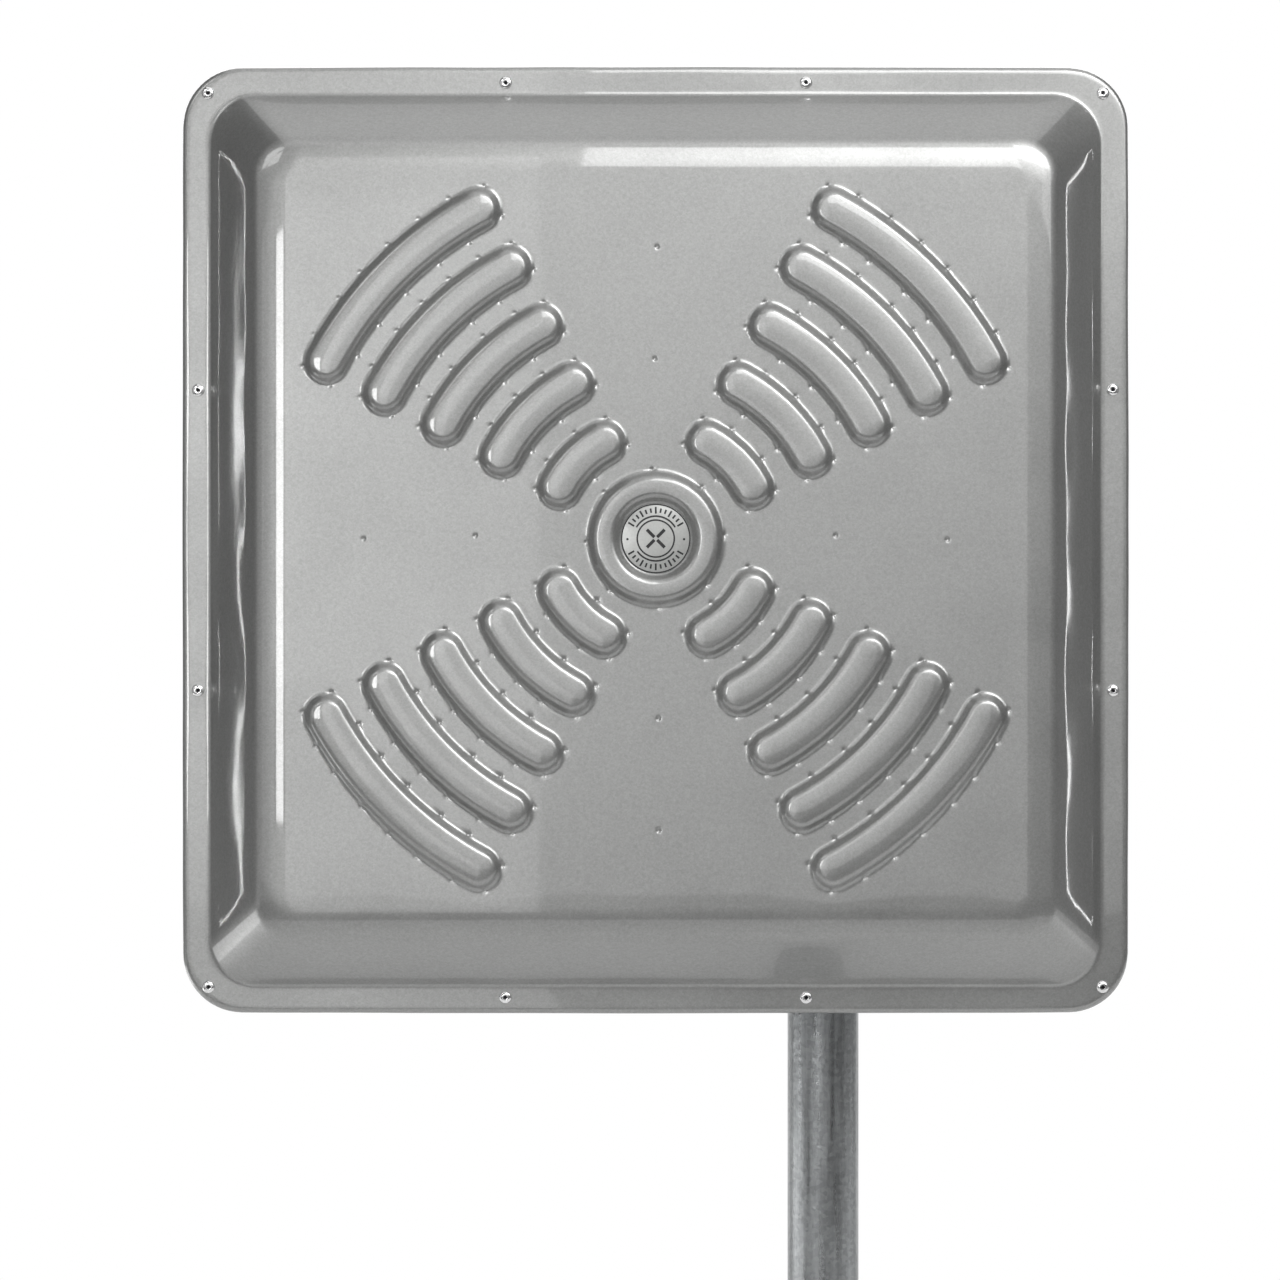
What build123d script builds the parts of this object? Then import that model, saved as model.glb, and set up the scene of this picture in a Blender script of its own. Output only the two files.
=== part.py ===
"""Square flat-panel directional antenna on a stub of aerial mast, with its tilting mast clamp.

Frame: millimetres, origin at the centre of the mast's foot, +Z up the mast, the panel facing -Y.
"""

import os
from math import radians, sin, sqrt, tan

from build123d import *

os.makedirs("parts", exist_ok=True)

# ---- mast ----
MAST_DIAMETER = 35.0
MAST_WALL = 2.0
MAST_LENGTH = 600.0
CAP_RIM = 2.0
CAP_EDGE_R = 1.2
CAP_DEPTH = 12.0
CAP_PLAY = 0.1
FOOT_GRIP = 60.0
FOOT_GROOVE_R = 2.0
FOOT_GROOVE_DEPTH = 0.8

# ---- where the panel sits on the mast ----
PANEL_CENTRE_X = -83.0
PANEL_CENTRE_Z = 490.0
PIVOT_TO_MAST = 52.0
PIVOT_TO_PLATE = 32.5

# ---- radome ----
PANEL_SIZE = 450.0
PANEL_CORNER_R = 28.0
RADOME_T = 2.0
LIP_DEPTH = 6.5
LIP_ROLL_R = 2.5
FLANGE_W = 13.0
DOME_FOOT_SIZE = PANEL_SIZE - 2 * FLANGE_W
DOME_FOOT_CORNER_R = 23.0
DOME_WALL_RUN = 26.5
DOME_FACE_SIZE = DOME_FOOT_SIZE - 2 * DOME_WALL_RUN
DOME_FACE_CORNER_R = 12.0
DOME_HEIGHT = 35.0
DOME_EDGE_R = 14.0
DOME_FOOT_R = 2.5

# ---- raised ribs and ring on the radome's face ----
RIB_RADII = (51.3, 82.1, 113.1, 144.3, 175.5)
RIB_HALF_SPREAD = 16.7
RIB_WIDTH = 20.6
RIB_HEIGHT = 4.8
RIB_TAPER = 35.0
RIB_EDGE_R = 3.0
RIB_FOOT_R = 3.0
RING_OUTER_R = 31.7
RECESS_R = 17.0
BADGE_R = 16.4
BADGE_T = 0.5

# ---- reflector plate, seal and rivets ----
PLATE_T = 2.0
PLATE_PLAY = 0.5
SEAL_T = 1.0
SEAL_WIDTH = 8.5
SEAL_MARGIN = 1.0
RIVET_SIDE_INSET = 7.1
RIVET_CORNER_INSET = 12.0
RIVET_OFFSET = 71.5
RIVET_R = 1.6
RIVET_HEAD_R = 3.0
RIVET_HEAD_H = 1.2
RIVET_HEAD_EDGE_R = 0.84
RIVET_TAIL_R = 2.4
RIVET_TAIL_H = 2.6
RIVET_TAIL_EDGE_R = 1.2
MANDREL_R = 0.65
MANDREL_DEPTH = 2.5
HOLE_PLAY = 0.1

# ---- antenna array inside the radome ----
ARRAY_ROWS = 4
ARRAY_PITCH = 94.0
BOARD_MARGIN = 8.0
BOARD_CORNER_R = 4.0
BOARD_T = 1.6
BOARD_STANDOFF = 6.0
PATCH_SIZE = 52.0
COPPER_T = 0.3
FEED_W = 3.0
FEED_TRUNK_X = 10.0
DIRECTOR_SIZE = 46.0
DIRECTOR_CORNER_R = 2.0
DIRECTOR_T = 1.5
DIRECTOR_STANDOFF = 13.0
POST_R = 3.0
M3_R = 1.5
POST_STEM_R = 1.4
SCREW_HEAD_R = 2.8
SCREW_HEAD_H = 1.6
SCREW_EDGE_R = 0.96
POST_SCREW_DEPTH = 7.0
SPACER_R = 4.0
SPACER_SHIFT = 12.0

# ---- coaxial sockets on the back ----
SOCKET_SPACING = 36.0
SOCKET_DROP = 62.0
SOCKET_FLANGE = 25.4
SOCKET_FLANGE_T = 3.0
SOCKET_FLANGE_CORNER_R = 2.0
SOCKET_SCREW_SPACING = 18.3
SOCKET_NECK_R = 7.2
SOCKET_NECK_L = 2.5
SOCKET_THREAD_R = 7.94
SOCKET_THREAD_L = 10.0
SOCKET_CHAMFER = 0.5
SOCKET_SHANK_R = 6.0
SOCKET_SHANK_L = 4.0
SOCKET_BORE_R = 4.6
SOCKET_BORE_DEPTH = 9.0
SOCKET_CONTACT_R = 1.5
SOCKET_CONTACT_SETBACK = 4.0
SOCKET_CONTACT_BORE_R = 0.85
SOCKET_CONTACT_BORE_DEPTH = 5.0
SOCKET_SOLDER_L = 0.8
SOCKET_GASKET_T = 0.8

# ---- vent and blank label on the back ----
VENT_DROP = 195.0
VENT_HEAD_R = 7.0
VENT_HEAD_H = 3.0
VENT_EDGE_R = 1.2
VENT_STEM_R = 4.0
VENT_STEM_L = 2.0
LABEL_W = 70.0
LABEL_H = 40.0
LABEL_T = 0.3
LABEL_CORNER_R = 2.0
LABEL_X = -60.0
LABEL_Z = 60.0

# ---- bent brackets: the clamp on the mast and the carrier on the panel ----
BRACKET_T = 3.0
BEND_R = 1.0
CLAMP_MARGIN = 13.25
CLAMP_WEB_H = 104.0
CLAMP_EAR_H = 66.0
CLAMP_SWEEP = 19.5
CARRIER_WEB_H = 116.0
CARRIER_EAR_H = 76.0
CARRIER_REACH = 20.0
EAR_SHOULDER = 9.0
EAR_CORNER_R = 11.0
WEB_CORNER_R = 6.0
EAR_GAP = 1.0
EAR_WASHER_R = 9.0
EAR_WASHER_T = 0.8
PIVOT_RISE = 17.0
LOCK_RADIUS = 34.0
TILT_LIMIT = 15.0
TILT_SPARE = 0.6
PIVOT_PLAY = 0.08
SLOT_PLAY = 0.3
FACE_PLAY = 0.1

# ---- jaws and U-bolts that grip the mast ----
JAW_FLOOR = 3.8
JAW_DEPTH = 12.0
JAW_MARGIN = 7.25
JAW_END_R = 3.0
JAW_H = 17.0
JAW_HALF_ANGLE = 60.0
GRIP_PLAY = 0.25
GRIP_SPACING = 74.0
UBOLT_TAIL = 4.0

# ---- M8 and M6 hardware ----
M8_R = 4.0
M8_HEAD_AF = 13.0
M8_HEAD_H = 5.3
M8_NUT_H = 6.5
M8_WASHER_R = 8.0
M8_WASHER_T = 1.6
M8_TAIL = 3.0
M8_CHAMFER = 0.7
M8_HOLE_PLAY = 0.25
M6_R = 3.0
M6_STUD_HEAD_R = 5.0
M6_STUD_HEAD_H = 1.5
M6_NUT_AF = 10.0
M6_NUT_H = 5.0
M6_WASHER_R = 6.0
M6_WASHER_T = 1.2
M6_TAIL = 2.0
M6_CHAMFER = 0.6
M6_HOLE_PLAY = 0.2
STUD_X = 22.0
STUD_Z = 43.0

# ---- levels along Y, worked out from the mast forward ----
MAST_R = MAST_DIAMETER / 2
GRIP_R = MAST_R + GRIP_PLAY
JAW_APEX_Y = -GRIP_R / sin(radians(JAW_HALF_ANGLE))
CLAMP_BACK_Y = JAW_APEX_Y - JAW_FLOOR
CLAMP_FRONT_Y = CLAMP_BACK_Y - BRACKET_T
JAW_TIP_Y = CLAMP_BACK_Y + JAW_DEPTH
UBOLT_X = GRIP_R + M8_R
UBOLT_END_Y = CLAMP_FRONT_Y - M8_WASHER_T - M8_NUT_H - UBOLT_TAIL
PIVOT_Y = -PIVOT_TO_MAST
PIVOT_Z = PANEL_CENTRE_Z + PIVOT_RISE
LOCK_Z = PIVOT_Z - LOCK_RADIUS
PLATE_BACK_Y = PIVOT_Y - PIVOT_TO_PLATE
CARRIER_BACK_Y = PLATE_BACK_Y + BRACKET_T
CLAMP_EDGE_Y = PLATE_BACK_Y + CLAMP_SWEEP
CARRIER_EDGE_Y = PIVOT_Y + CARRIER_REACH
FLANGE_FRONT_Y = PLATE_BACK_Y - PLATE_T - SEAL_T - RADOME_T
FACE_Y = FLANGE_FRONT_Y - DOME_HEIGHT
CREST_Y = FACE_Y - RIB_HEIGHT
LEVEL_TOL = 0.01

# ---- widths across X ----
JAW_WIDTH = 2 * (UBOLT_X + JAW_MARGIN)
CLAMP_OUTER_X = UBOLT_X + CLAMP_MARGIN
CLAMP_INNER_X = CLAMP_OUTER_X - BRACKET_T
CARRIER_INNER_X = CLAMP_OUTER_X + EAR_GAP
CARRIER_OUTER_X = CARRIER_INNER_X + BRACKET_T
TILT_SEAT_X = CARRIER_OUTER_X + FACE_PLAY
TILT_HEAD_X = TILT_SEAT_X + M8_WASHER_T

# ---- the dome's drafted wall ----
DRAFT_RATIO = (DOME_FOOT_SIZE - DOME_FACE_SIZE) / 2 / DOME_HEIGHT
CORNER_RATIO = (DOME_FOOT_CORNER_R - DOME_FACE_CORNER_R) / DOME_HEIGHT
WALL_SHIFT = RADOME_T * (1 + DRAFT_RATIO**2) ** 0.5
INNER_TOP = DOME_HEIGHT - RADOME_T
INNER_FOOT_SIZE = DOME_FOOT_SIZE + 2 * (DRAFT_RATIO * RADOME_T - WALL_SHIFT)
INNER_FACE_SIZE = DOME_FOOT_SIZE - 2 * (DRAFT_RATIO * INNER_TOP + WALL_SHIFT)
INNER_FOOT_CORNER_R = DOME_FOOT_CORNER_R + CORNER_RATIO * RADOME_T - WALL_SHIFT
INNER_FACE_CORNER_R = DOME_FOOT_CORNER_R - CORNER_RATIO * INNER_TOP - WALL_SHIFT
FLANK_SHIFT = RADOME_T * tan(radians((90 - RIB_TAPER) / 2))

# ---- the rolled groove above the mast's foot, where a mast socket's locking screw seats ----
GROOVE_RING_R = MAST_R + FOOT_GROOVE_R - FOOT_GROOVE_DEPTH
GROOVE_HALF_W = sqrt(FOOT_GROOVE_R**2 - (FOOT_GROOVE_R - FOOT_GROOVE_DEPTH) ** 2)

# ---- planes that face the same way as the panel ----
flange_front = Plane(
    origin=(PANEL_CENTRE_X, FLANGE_FRONT_Y, PANEL_CENTRE_Z), x_dir=(1, 0, 0), z_dir=(0, -1, 0)
)
flange_back = flange_front.offset(-RADOME_T)
plate_front = flange_back.offset(-SEAL_T)
plate_back = plate_front.offset(-PLATE_T)
face_inside = flange_front.offset(INNER_TOP)
face_outside = flange_front.offset(DOME_HEIGHT)
board_back = plate_front.offset(BOARD_STANDOFF)
board_front = board_back.offset(BOARD_T)
copper_front = board_front.offset(COPPER_T)
director_back = board_front.offset(DIRECTOR_STANDOFF)
director_front = director_back.offset(DIRECTOR_T)
carrier_front = Plane(origin=(0, PLATE_BACK_Y, PANEL_CENTRE_Z), x_dir=(1, 0, 0), z_dir=(0, -1, 0))
carrier_back = carrier_front.offset(-BRACKET_T)
clamp_front = Plane(origin=(0, CLAMP_FRONT_Y, PANEL_CENTRE_Z), x_dir=(1, 0, 0), z_dir=(0, -1, 0))
clamp_back = clamp_front.offset(-BRACKET_T)
jaw_level = Plane.XY.offset(PANEL_CENTRE_Z - JAW_H / 2)

# ---- fastener places ----
RIVET_SIDE = PANEL_SIZE / 2 - RIVET_SIDE_INSET
RIVET_CORNER = PANEL_SIZE / 2 - RIVET_CORNER_INSET
rivet_spots = []
for sx in (-1, 1):
    for sz in (-1, 1):
        rivet_spots.append((sx * RIVET_CORNER, sz * RIVET_CORNER))
        rivet_spots.append((sx * RIVET_OFFSET, sz * RIVET_SIDE))
        rivet_spots.append((sx * RIVET_SIDE, sz * RIVET_OFFSET))
SPACER_PITCH = ARRAY_PITCH + SPACER_SHIFT
BOARD_SIZE = (ARRAY_ROWS - 1) * ARRAY_PITCH + PATCH_SIZE + 2 * BOARD_MARGIN
socket_spots = [(-SOCKET_SPACING / 2, -SOCKET_DROP), (SOCKET_SPACING / 2, -SOCKET_DROP)]
screw_spots = []
for x, z in socket_spots:
    for dx in (-SOCKET_SCREW_SPACING / 2, SOCKET_SCREW_SPACING / 2):
        for dz in (-SOCKET_SCREW_SPACING / 2, SOCKET_SCREW_SPACING / 2):
            screw_spots.append((x + dx, z + dz))
stud_spots = [(-STUD_X, -STUD_Z), (-STUD_X, STUD_Z), (STUD_X, -STUD_Z), (STUD_X, STUD_Z)]
grip_spots = []
for z in (-GRIP_SPACING / 2, GRIP_SPACING / 2):
    grip_spots.append((-UBOLT_X, z))
    grip_spots.append((UBOLT_X, z))
tilt_spots = [(PIVOT_Y, PIVOT_Z), (PIVOT_Y, LOCK_Z)]

# ---- centre lines of the ribs and of the tilt slot ----
rib_paths = [CenterArc((0, 0), r, -RIB_HALF_SPREAD, 2 * RIB_HALF_SPREAD) for r in RIB_RADII]
SLOT_REACH = TILT_LIMIT + TILT_SPARE
lock_path = CenterArc((0, 0), LOCK_RADIUS, 270 - SLOT_REACH, 2 * SLOT_REACH)


# ================= mast =================
with BuildPart() as mast_tube:
    with BuildSketch(Plane.XY):
        Circle(MAST_R)
        Circle(MAST_R - MAST_WALL, mode=Mode.SUBTRACT)
    extrude(amount=MAST_LENGTH)
    with Locations((0, 0, FOOT_GRIP + GROOVE_HALF_W)):
        Torus(GROOVE_RING_R, FOOT_GROOVE_R, mode=Mode.SUBTRACT)
mast_tube.part.label = "mast_tube"
export_step(mast_tube.part, "parts/mast_tube.step")

with BuildPart() as mast_cap:
    with BuildSketch(Plane.XY.offset(MAST_LENGTH)):
        Circle(MAST_R)
    extrude(amount=CAP_RIM)
    fillet(mast_cap.edges().group_by(Axis.Z)[-1], CAP_EDGE_R)
    with BuildSketch(Plane.XY.offset(MAST_LENGTH - CAP_DEPTH)):
        Circle(MAST_R - MAST_WALL - CAP_PLAY)
    extrude(amount=CAP_DEPTH)
    with BuildSketch(Plane.XY.offset(MAST_LENGTH - CAP_DEPTH)):
        Circle(MAST_R - 2 * MAST_WALL - CAP_PLAY)
    extrude(amount=CAP_DEPTH - CAP_RIM, mode=Mode.SUBTRACT)
mast_cap.part.label = "mast_cap"
export_step(mast_cap.part, "parts/mast_cap.step")


# ================= clamp on the mast =================
with BuildPart() as clamp_bracket:
    with BuildSketch(Plane.XY.offset(PANEL_CENTRE_Z - CLAMP_WEB_H / 2)) as channel:
        with Locations((0, (CLAMP_BACK_Y + CLAMP_EDGE_Y) / 2)):
            Rectangle(2 * CLAMP_OUTER_X, CLAMP_BACK_Y - CLAMP_EDGE_Y)
        fillet(channel.vertices().group_by(Axis.Y)[-1], BRACKET_T + BEND_R)
        with Locations((0, CLAMP_EDGE_Y)):
            RectangleRounded(
                2 * CLAMP_INNER_X, 2 * (CLAMP_FRONT_Y - CLAMP_EDGE_Y), BEND_R, mode=Mode.SUBTRACT
            )
    extrude(amount=CLAMP_WEB_H)
    with BuildSketch(Plane.YZ.offset(-CLAMP_OUTER_X)) as side_view:
        with BuildLine():
            Polyline(
                (CLAMP_BACK_Y, PANEL_CENTRE_Z - CLAMP_WEB_H / 2),
                (CLAMP_FRONT_Y, PANEL_CENTRE_Z - CLAMP_WEB_H / 2),
                (CLAMP_FRONT_Y - EAR_SHOULDER, PANEL_CENTRE_Z - CLAMP_EAR_H / 2),
                (CLAMP_EDGE_Y, PANEL_CENTRE_Z - CLAMP_EAR_H / 2),
                (CLAMP_EDGE_Y, PANEL_CENTRE_Z + CLAMP_EAR_H / 2),
                (CLAMP_FRONT_Y - EAR_SHOULDER, PANEL_CENTRE_Z + CLAMP_EAR_H / 2),
                (CLAMP_FRONT_Y, PANEL_CENTRE_Z + CLAMP_WEB_H / 2),
                (CLAMP_BACK_Y, PANEL_CENTRE_Z + CLAMP_WEB_H / 2),
                close=True,
            )
        make_face()
        fillet(side_view.vertices().group_by(Axis.X)[0], EAR_CORNER_R)
        with Locations(*tilt_spots):
            Circle(M8_R + PIVOT_PLAY, mode=Mode.SUBTRACT)
    extrude(amount=2 * CLAMP_OUTER_X, mode=Mode.INTERSECT)
    with BuildSketch(clamp_back):
        RectangleRounded(2 * CLAMP_OUTER_X, CLAMP_WEB_H, WEB_CORNER_R)
        with Locations(*grip_spots):
            Circle(M8_R + M8_HOLE_PLAY, mode=Mode.SUBTRACT)
    extrude(amount=CLAMP_BACK_Y - CLAMP_EDGE_Y, mode=Mode.INTERSECT)
clamp_bracket.part.label = "clamp_bracket"
export_step(clamp_bracket.part, "parts/clamp_bracket.step")

with BuildPart() as mast_jaws:
    for z in (-GRIP_SPACING / 2, GRIP_SPACING / 2):
        with BuildSketch(jaw_level.offset(z)):
            with BuildLine():
                Polyline(
                    (-JAW_WIDTH / 2, CLAMP_BACK_Y),
                    (JAW_WIDTH / 2, CLAMP_BACK_Y),
                    (JAW_WIDTH / 2, JAW_TIP_Y),
                    ((JAW_TIP_Y - JAW_APEX_Y) * tan(radians(JAW_HALF_ANGLE)), JAW_TIP_Y),
                    (0, JAW_APEX_Y),
                    (-(JAW_TIP_Y - JAW_APEX_Y) * tan(radians(JAW_HALF_ANGLE)), JAW_TIP_Y),
                    (-JAW_WIDTH / 2, JAW_TIP_Y),
                    close=True,
                )
            make_face()
        extrude(amount=JAW_H)
    jaw_ends = mast_jaws.edges().filter_by(Axis.Z).filter_by_position(
        Axis.Y, JAW_TIP_Y - LEVEL_TOL, JAW_TIP_Y + LEVEL_TOL
    )
    fillet(jaw_ends.filter_by(lambda e: abs(e.center().X) > JAW_WIDTH / 2 - LEVEL_TOL), JAW_END_R)
    with BuildSketch(clamp_back.offset(-JAW_DEPTH)):
        with Locations(*grip_spots):
            Circle(M8_R + M8_HOLE_PLAY)
    extrude(amount=JAW_DEPTH, mode=Mode.SUBTRACT)
mast_jaws.part.label = "mast_jaws"
export_step(mast_jaws.part, "parts/mast_jaws.step")

with BuildPart() as u_bolts:
    for z in (-GRIP_SPACING / 2, GRIP_SPACING / 2):
        with BuildLine(Plane.XY.offset(PANEL_CENTRE_Z + z)) as bend:
            leg = Line((UBOLT_X, UBOLT_END_Y), (UBOLT_X, 0))
            CenterArc((0, 0), UBOLT_X, 0, 180)
            Line((-UBOLT_X, 0), (-UBOLT_X, UBOLT_END_Y))
        with BuildSketch(Plane(origin=leg @ 0, z_dir=leg % 0)):
            Circle(M8_R)
        sweep(path=bend.wires()[0])
    chamfer(u_bolts.edges().filter_by(GeomType.CIRCLE).group_by(Axis.Y)[0], M8_CHAMFER)
u_bolts.part.label = "u_bolts"
export_step(u_bolts.part, "parts/u_bolts.step")

with BuildPart() as grip_washers:
    with BuildSketch(clamp_front):
        with Locations(*grip_spots):
            Circle(M8_WASHER_R)
            Circle(M8_R, mode=Mode.SUBTRACT)
    extrude(amount=M8_WASHER_T)
grip_washers.part.label = "grip_washers"
export_step(grip_washers.part, "parts/grip_washers.step")

with BuildPart() as grip_nuts:
    with BuildSketch(clamp_front.offset(M8_WASHER_T)):
        with Locations(*grip_spots):
            RegularPolygon(M8_HEAD_AF / 2, 6, major_radius=False)
            Circle(M8_R, mode=Mode.SUBTRACT)
    extrude(amount=M8_NUT_H)
grip_nuts.part.label = "grip_nuts"
export_step(grip_nuts.part, "parts/grip_nuts.step")


# ================= tilt hardware, carried by the clamp =================
with BuildPart() as tilt_bolts:
    with BuildSketch(Plane.YZ.offset(TILT_HEAD_X)):
        with Locations(*tilt_spots):
            RegularPolygon(M8_HEAD_AF / 2, 6, major_radius=False)
    extrude(amount=M8_HEAD_H)
    with BuildSketch(Plane.YZ.offset(TILT_HEAD_X)):
        with Locations(*tilt_spots):
            Circle(M8_R)
    extrude(amount=-(2 * TILT_HEAD_X + M8_NUT_H + M8_TAIL))
    chamfer(tilt_bolts.edges().filter_by(GeomType.CIRCLE).group_by(Axis.X)[0], M8_CHAMFER)
tilt_bolts.part.label = "tilt_bolts"
export_step(tilt_bolts.part, "parts/tilt_bolts.step")

with BuildPart() as tilt_nuts:
    with BuildSketch(Plane.YZ.offset(-TILT_HEAD_X)):
        with Locations(*tilt_spots):
            RegularPolygon(M8_HEAD_AF / 2, 6, major_radius=False)
            Circle(M8_R, mode=Mode.SUBTRACT)
    extrude(amount=-M8_NUT_H)
tilt_nuts.part.label = "tilt_nuts"
export_step(tilt_nuts.part, "parts/tilt_nuts.step")

with BuildPart() as tilt_washers:
    for side in (-1, 1):
        with BuildSketch(Plane.YZ.offset(side * TILT_SEAT_X)):
            with Locations(*tilt_spots):
                Circle(M8_WASHER_R)
                Circle(M8_R, mode=Mode.SUBTRACT)
        extrude(amount=side * M8_WASHER_T)
tilt_washers.part.label = "tilt_washers"
export_step(tilt_washers.part, "parts/tilt_washers.step")

with BuildPart() as ear_washers:
    for side in (-1, 1):
        with BuildSketch(Plane.YZ.offset(side * (CLAMP_OUTER_X + (EAR_GAP - EAR_WASHER_T) / 2))):
            with Locations((PIVOT_Y, PIVOT_Z)):
                Circle(EAR_WASHER_R)
                Circle(M8_R, mode=Mode.SUBTRACT)
        extrude(amount=side * EAR_WASHER_T)
ear_washers.part.label = "ear_washers"
export_step(ear_washers.part, "parts/ear_washers.step")


# ================= carrier on the panel =================
with BuildPart() as carrier_bracket:
    with BuildSketch(Plane.XY.offset(PANEL_CENTRE_Z - CARRIER_WEB_H / 2)) as channel:
        with Locations((0, (PLATE_BACK_Y + CARRIER_EDGE_Y) / 2)):
            Rectangle(2 * CARRIER_OUTER_X, CARRIER_EDGE_Y - PLATE_BACK_Y)
        fillet(channel.vertices().group_by(Axis.Y)[0], BRACKET_T + BEND_R)
        with Locations((0, CARRIER_EDGE_Y)):
            RectangleRounded(
                2 * CARRIER_INNER_X, 2 * (CARRIER_EDGE_Y - CARRIER_BACK_Y), BEND_R, mode=Mode.SUBTRACT
            )
    extrude(amount=CARRIER_WEB_H)
    with BuildSketch(Plane.YZ.offset(-CARRIER_OUTER_X)) as side_view:
        with BuildLine():
            Polyline(
                (PLATE_BACK_Y, PANEL_CENTRE_Z - CARRIER_WEB_H / 2),
                (CARRIER_BACK_Y, PANEL_CENTRE_Z - CARRIER_WEB_H / 2),
                (CARRIER_BACK_Y + EAR_SHOULDER, PANEL_CENTRE_Z - CARRIER_EAR_H / 2),
                (CARRIER_EDGE_Y, PANEL_CENTRE_Z - CARRIER_EAR_H / 2),
                (CARRIER_EDGE_Y, PANEL_CENTRE_Z + CARRIER_EAR_H / 2),
                (CARRIER_BACK_Y + EAR_SHOULDER, PANEL_CENTRE_Z + CARRIER_EAR_H / 2),
                (CARRIER_BACK_Y, PANEL_CENTRE_Z + CARRIER_WEB_H / 2),
                (PLATE_BACK_Y, PANEL_CENTRE_Z + CARRIER_WEB_H / 2),
                close=True,
            )
        make_face()
        fillet(side_view.vertices().group_by(Axis.X)[-1], EAR_CORNER_R)
        with Locations((PIVOT_Y, PIVOT_Z)):
            Circle(M8_R + PIVOT_PLAY, mode=Mode.SUBTRACT)
            SlotArc(lock_path, 2 * (M8_R + SLOT_PLAY), mode=Mode.SUBTRACT)
    extrude(amount=2 * CARRIER_OUTER_X, mode=Mode.INTERSECT)
    with BuildSketch(carrier_front):
        RectangleRounded(2 * CARRIER_OUTER_X, CARRIER_WEB_H, WEB_CORNER_R)
        with Locations(*stud_spots):
            Circle(M6_R + M6_HOLE_PLAY, mode=Mode.SUBTRACT)
    extrude(amount=PLATE_BACK_Y - CARRIER_EDGE_Y, mode=Mode.INTERSECT)
carrier_bracket.part.label = "carrier_bracket"
export_step(carrier_bracket.part, "parts/carrier_bracket.step")

with BuildPart() as plate_studs:
    with BuildSketch(carrier_front.offset(PLATE_T)):
        with Locations(*stud_spots):
            Circle(M6_STUD_HEAD_R)
    extrude(amount=M6_STUD_HEAD_H)
    with BuildSketch(carrier_front.offset(PLATE_T)):
        with Locations(*stud_spots):
            Circle(M6_R)
    extrude(amount=-(PLATE_T + BRACKET_T + M6_WASHER_T + M6_NUT_H + M6_TAIL))
    chamfer(plate_studs.edges().filter_by(GeomType.CIRCLE).group_by(Axis.Y)[-1], M6_CHAMFER)
plate_studs.part.label = "plate_studs"
export_step(plate_studs.part, "parts/plate_studs.step")

with BuildPart() as stud_washers:
    with BuildSketch(carrier_back):
        with Locations(*stud_spots):
            Circle(M6_WASHER_R)
            Circle(M6_R, mode=Mode.SUBTRACT)
    extrude(amount=-M6_WASHER_T)
stud_washers.part.label = "stud_washers"
export_step(stud_washers.part, "parts/stud_washers.step")

with BuildPart() as stud_nuts:
    with BuildSketch(carrier_back.offset(-M6_WASHER_T)):
        with Locations(*stud_spots):
            RegularPolygon(M6_NUT_AF / 2, 6, major_radius=False)
            Circle(M6_R, mode=Mode.SUBTRACT)
    extrude(amount=-M6_NUT_H)
stud_nuts.part.label = "stud_nuts"
export_step(stud_nuts.part, "parts/stud_nuts.step")


# ================= reflector plate, seal and rivets =================
with BuildPart() as reflector_plate:
    with BuildSketch(plate_back):
        RectangleRounded(
            PANEL_SIZE - 2 * (RADOME_T + PLATE_PLAY),
            PANEL_SIZE - 2 * (RADOME_T + PLATE_PLAY),
            PANEL_CORNER_R - RADOME_T - PLATE_PLAY,
        )
        with Locations(*rivet_spots):
            Circle(RIVET_R + HOLE_PLAY, mode=Mode.SUBTRACT)
        with Locations(*socket_spots):
            Circle(SOCKET_SHANK_R + HOLE_PLAY, mode=Mode.SUBTRACT)
        with Locations(*screw_spots):
            Circle(M3_R, mode=Mode.SUBTRACT)
        with GridLocations(SPACER_PITCH, SPACER_PITCH, 3, 3):
            Circle(M3_R, mode=Mode.SUBTRACT)
        with Locations((0, -VENT_DROP)):
            Circle(VENT_STEM_R, mode=Mode.SUBTRACT)
        with Locations(Location((-PANEL_CENTRE_X, 0))):
            with Locations(*stud_spots):
                Circle(M6_R, mode=Mode.SUBTRACT)
    extrude(amount=PLATE_T)
reflector_plate.part.label = "reflector_plate"
export_step(reflector_plate.part, "parts/reflector_plate.step")

with BuildPart() as flange_seal:
    with BuildSketch(plate_front):
        RectangleRounded(
            PANEL_SIZE - 2 * (RADOME_T + SEAL_MARGIN),
            PANEL_SIZE - 2 * (RADOME_T + SEAL_MARGIN),
            PANEL_CORNER_R - RADOME_T - SEAL_MARGIN,
        )
        RectangleRounded(
            PANEL_SIZE - 2 * (RADOME_T + SEAL_MARGIN + SEAL_WIDTH),
            PANEL_SIZE - 2 * (RADOME_T + SEAL_MARGIN + SEAL_WIDTH),
            PANEL_CORNER_R - RADOME_T - SEAL_MARGIN - SEAL_WIDTH,
            mode=Mode.SUBTRACT,
        )
        with Locations(*rivet_spots):
            Circle(RIVET_R + HOLE_PLAY, mode=Mode.SUBTRACT)
    extrude(amount=SEAL_T)
flange_seal.part.label = "flange_seal"
export_step(flange_seal.part, "parts/flange_seal.step")

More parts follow.
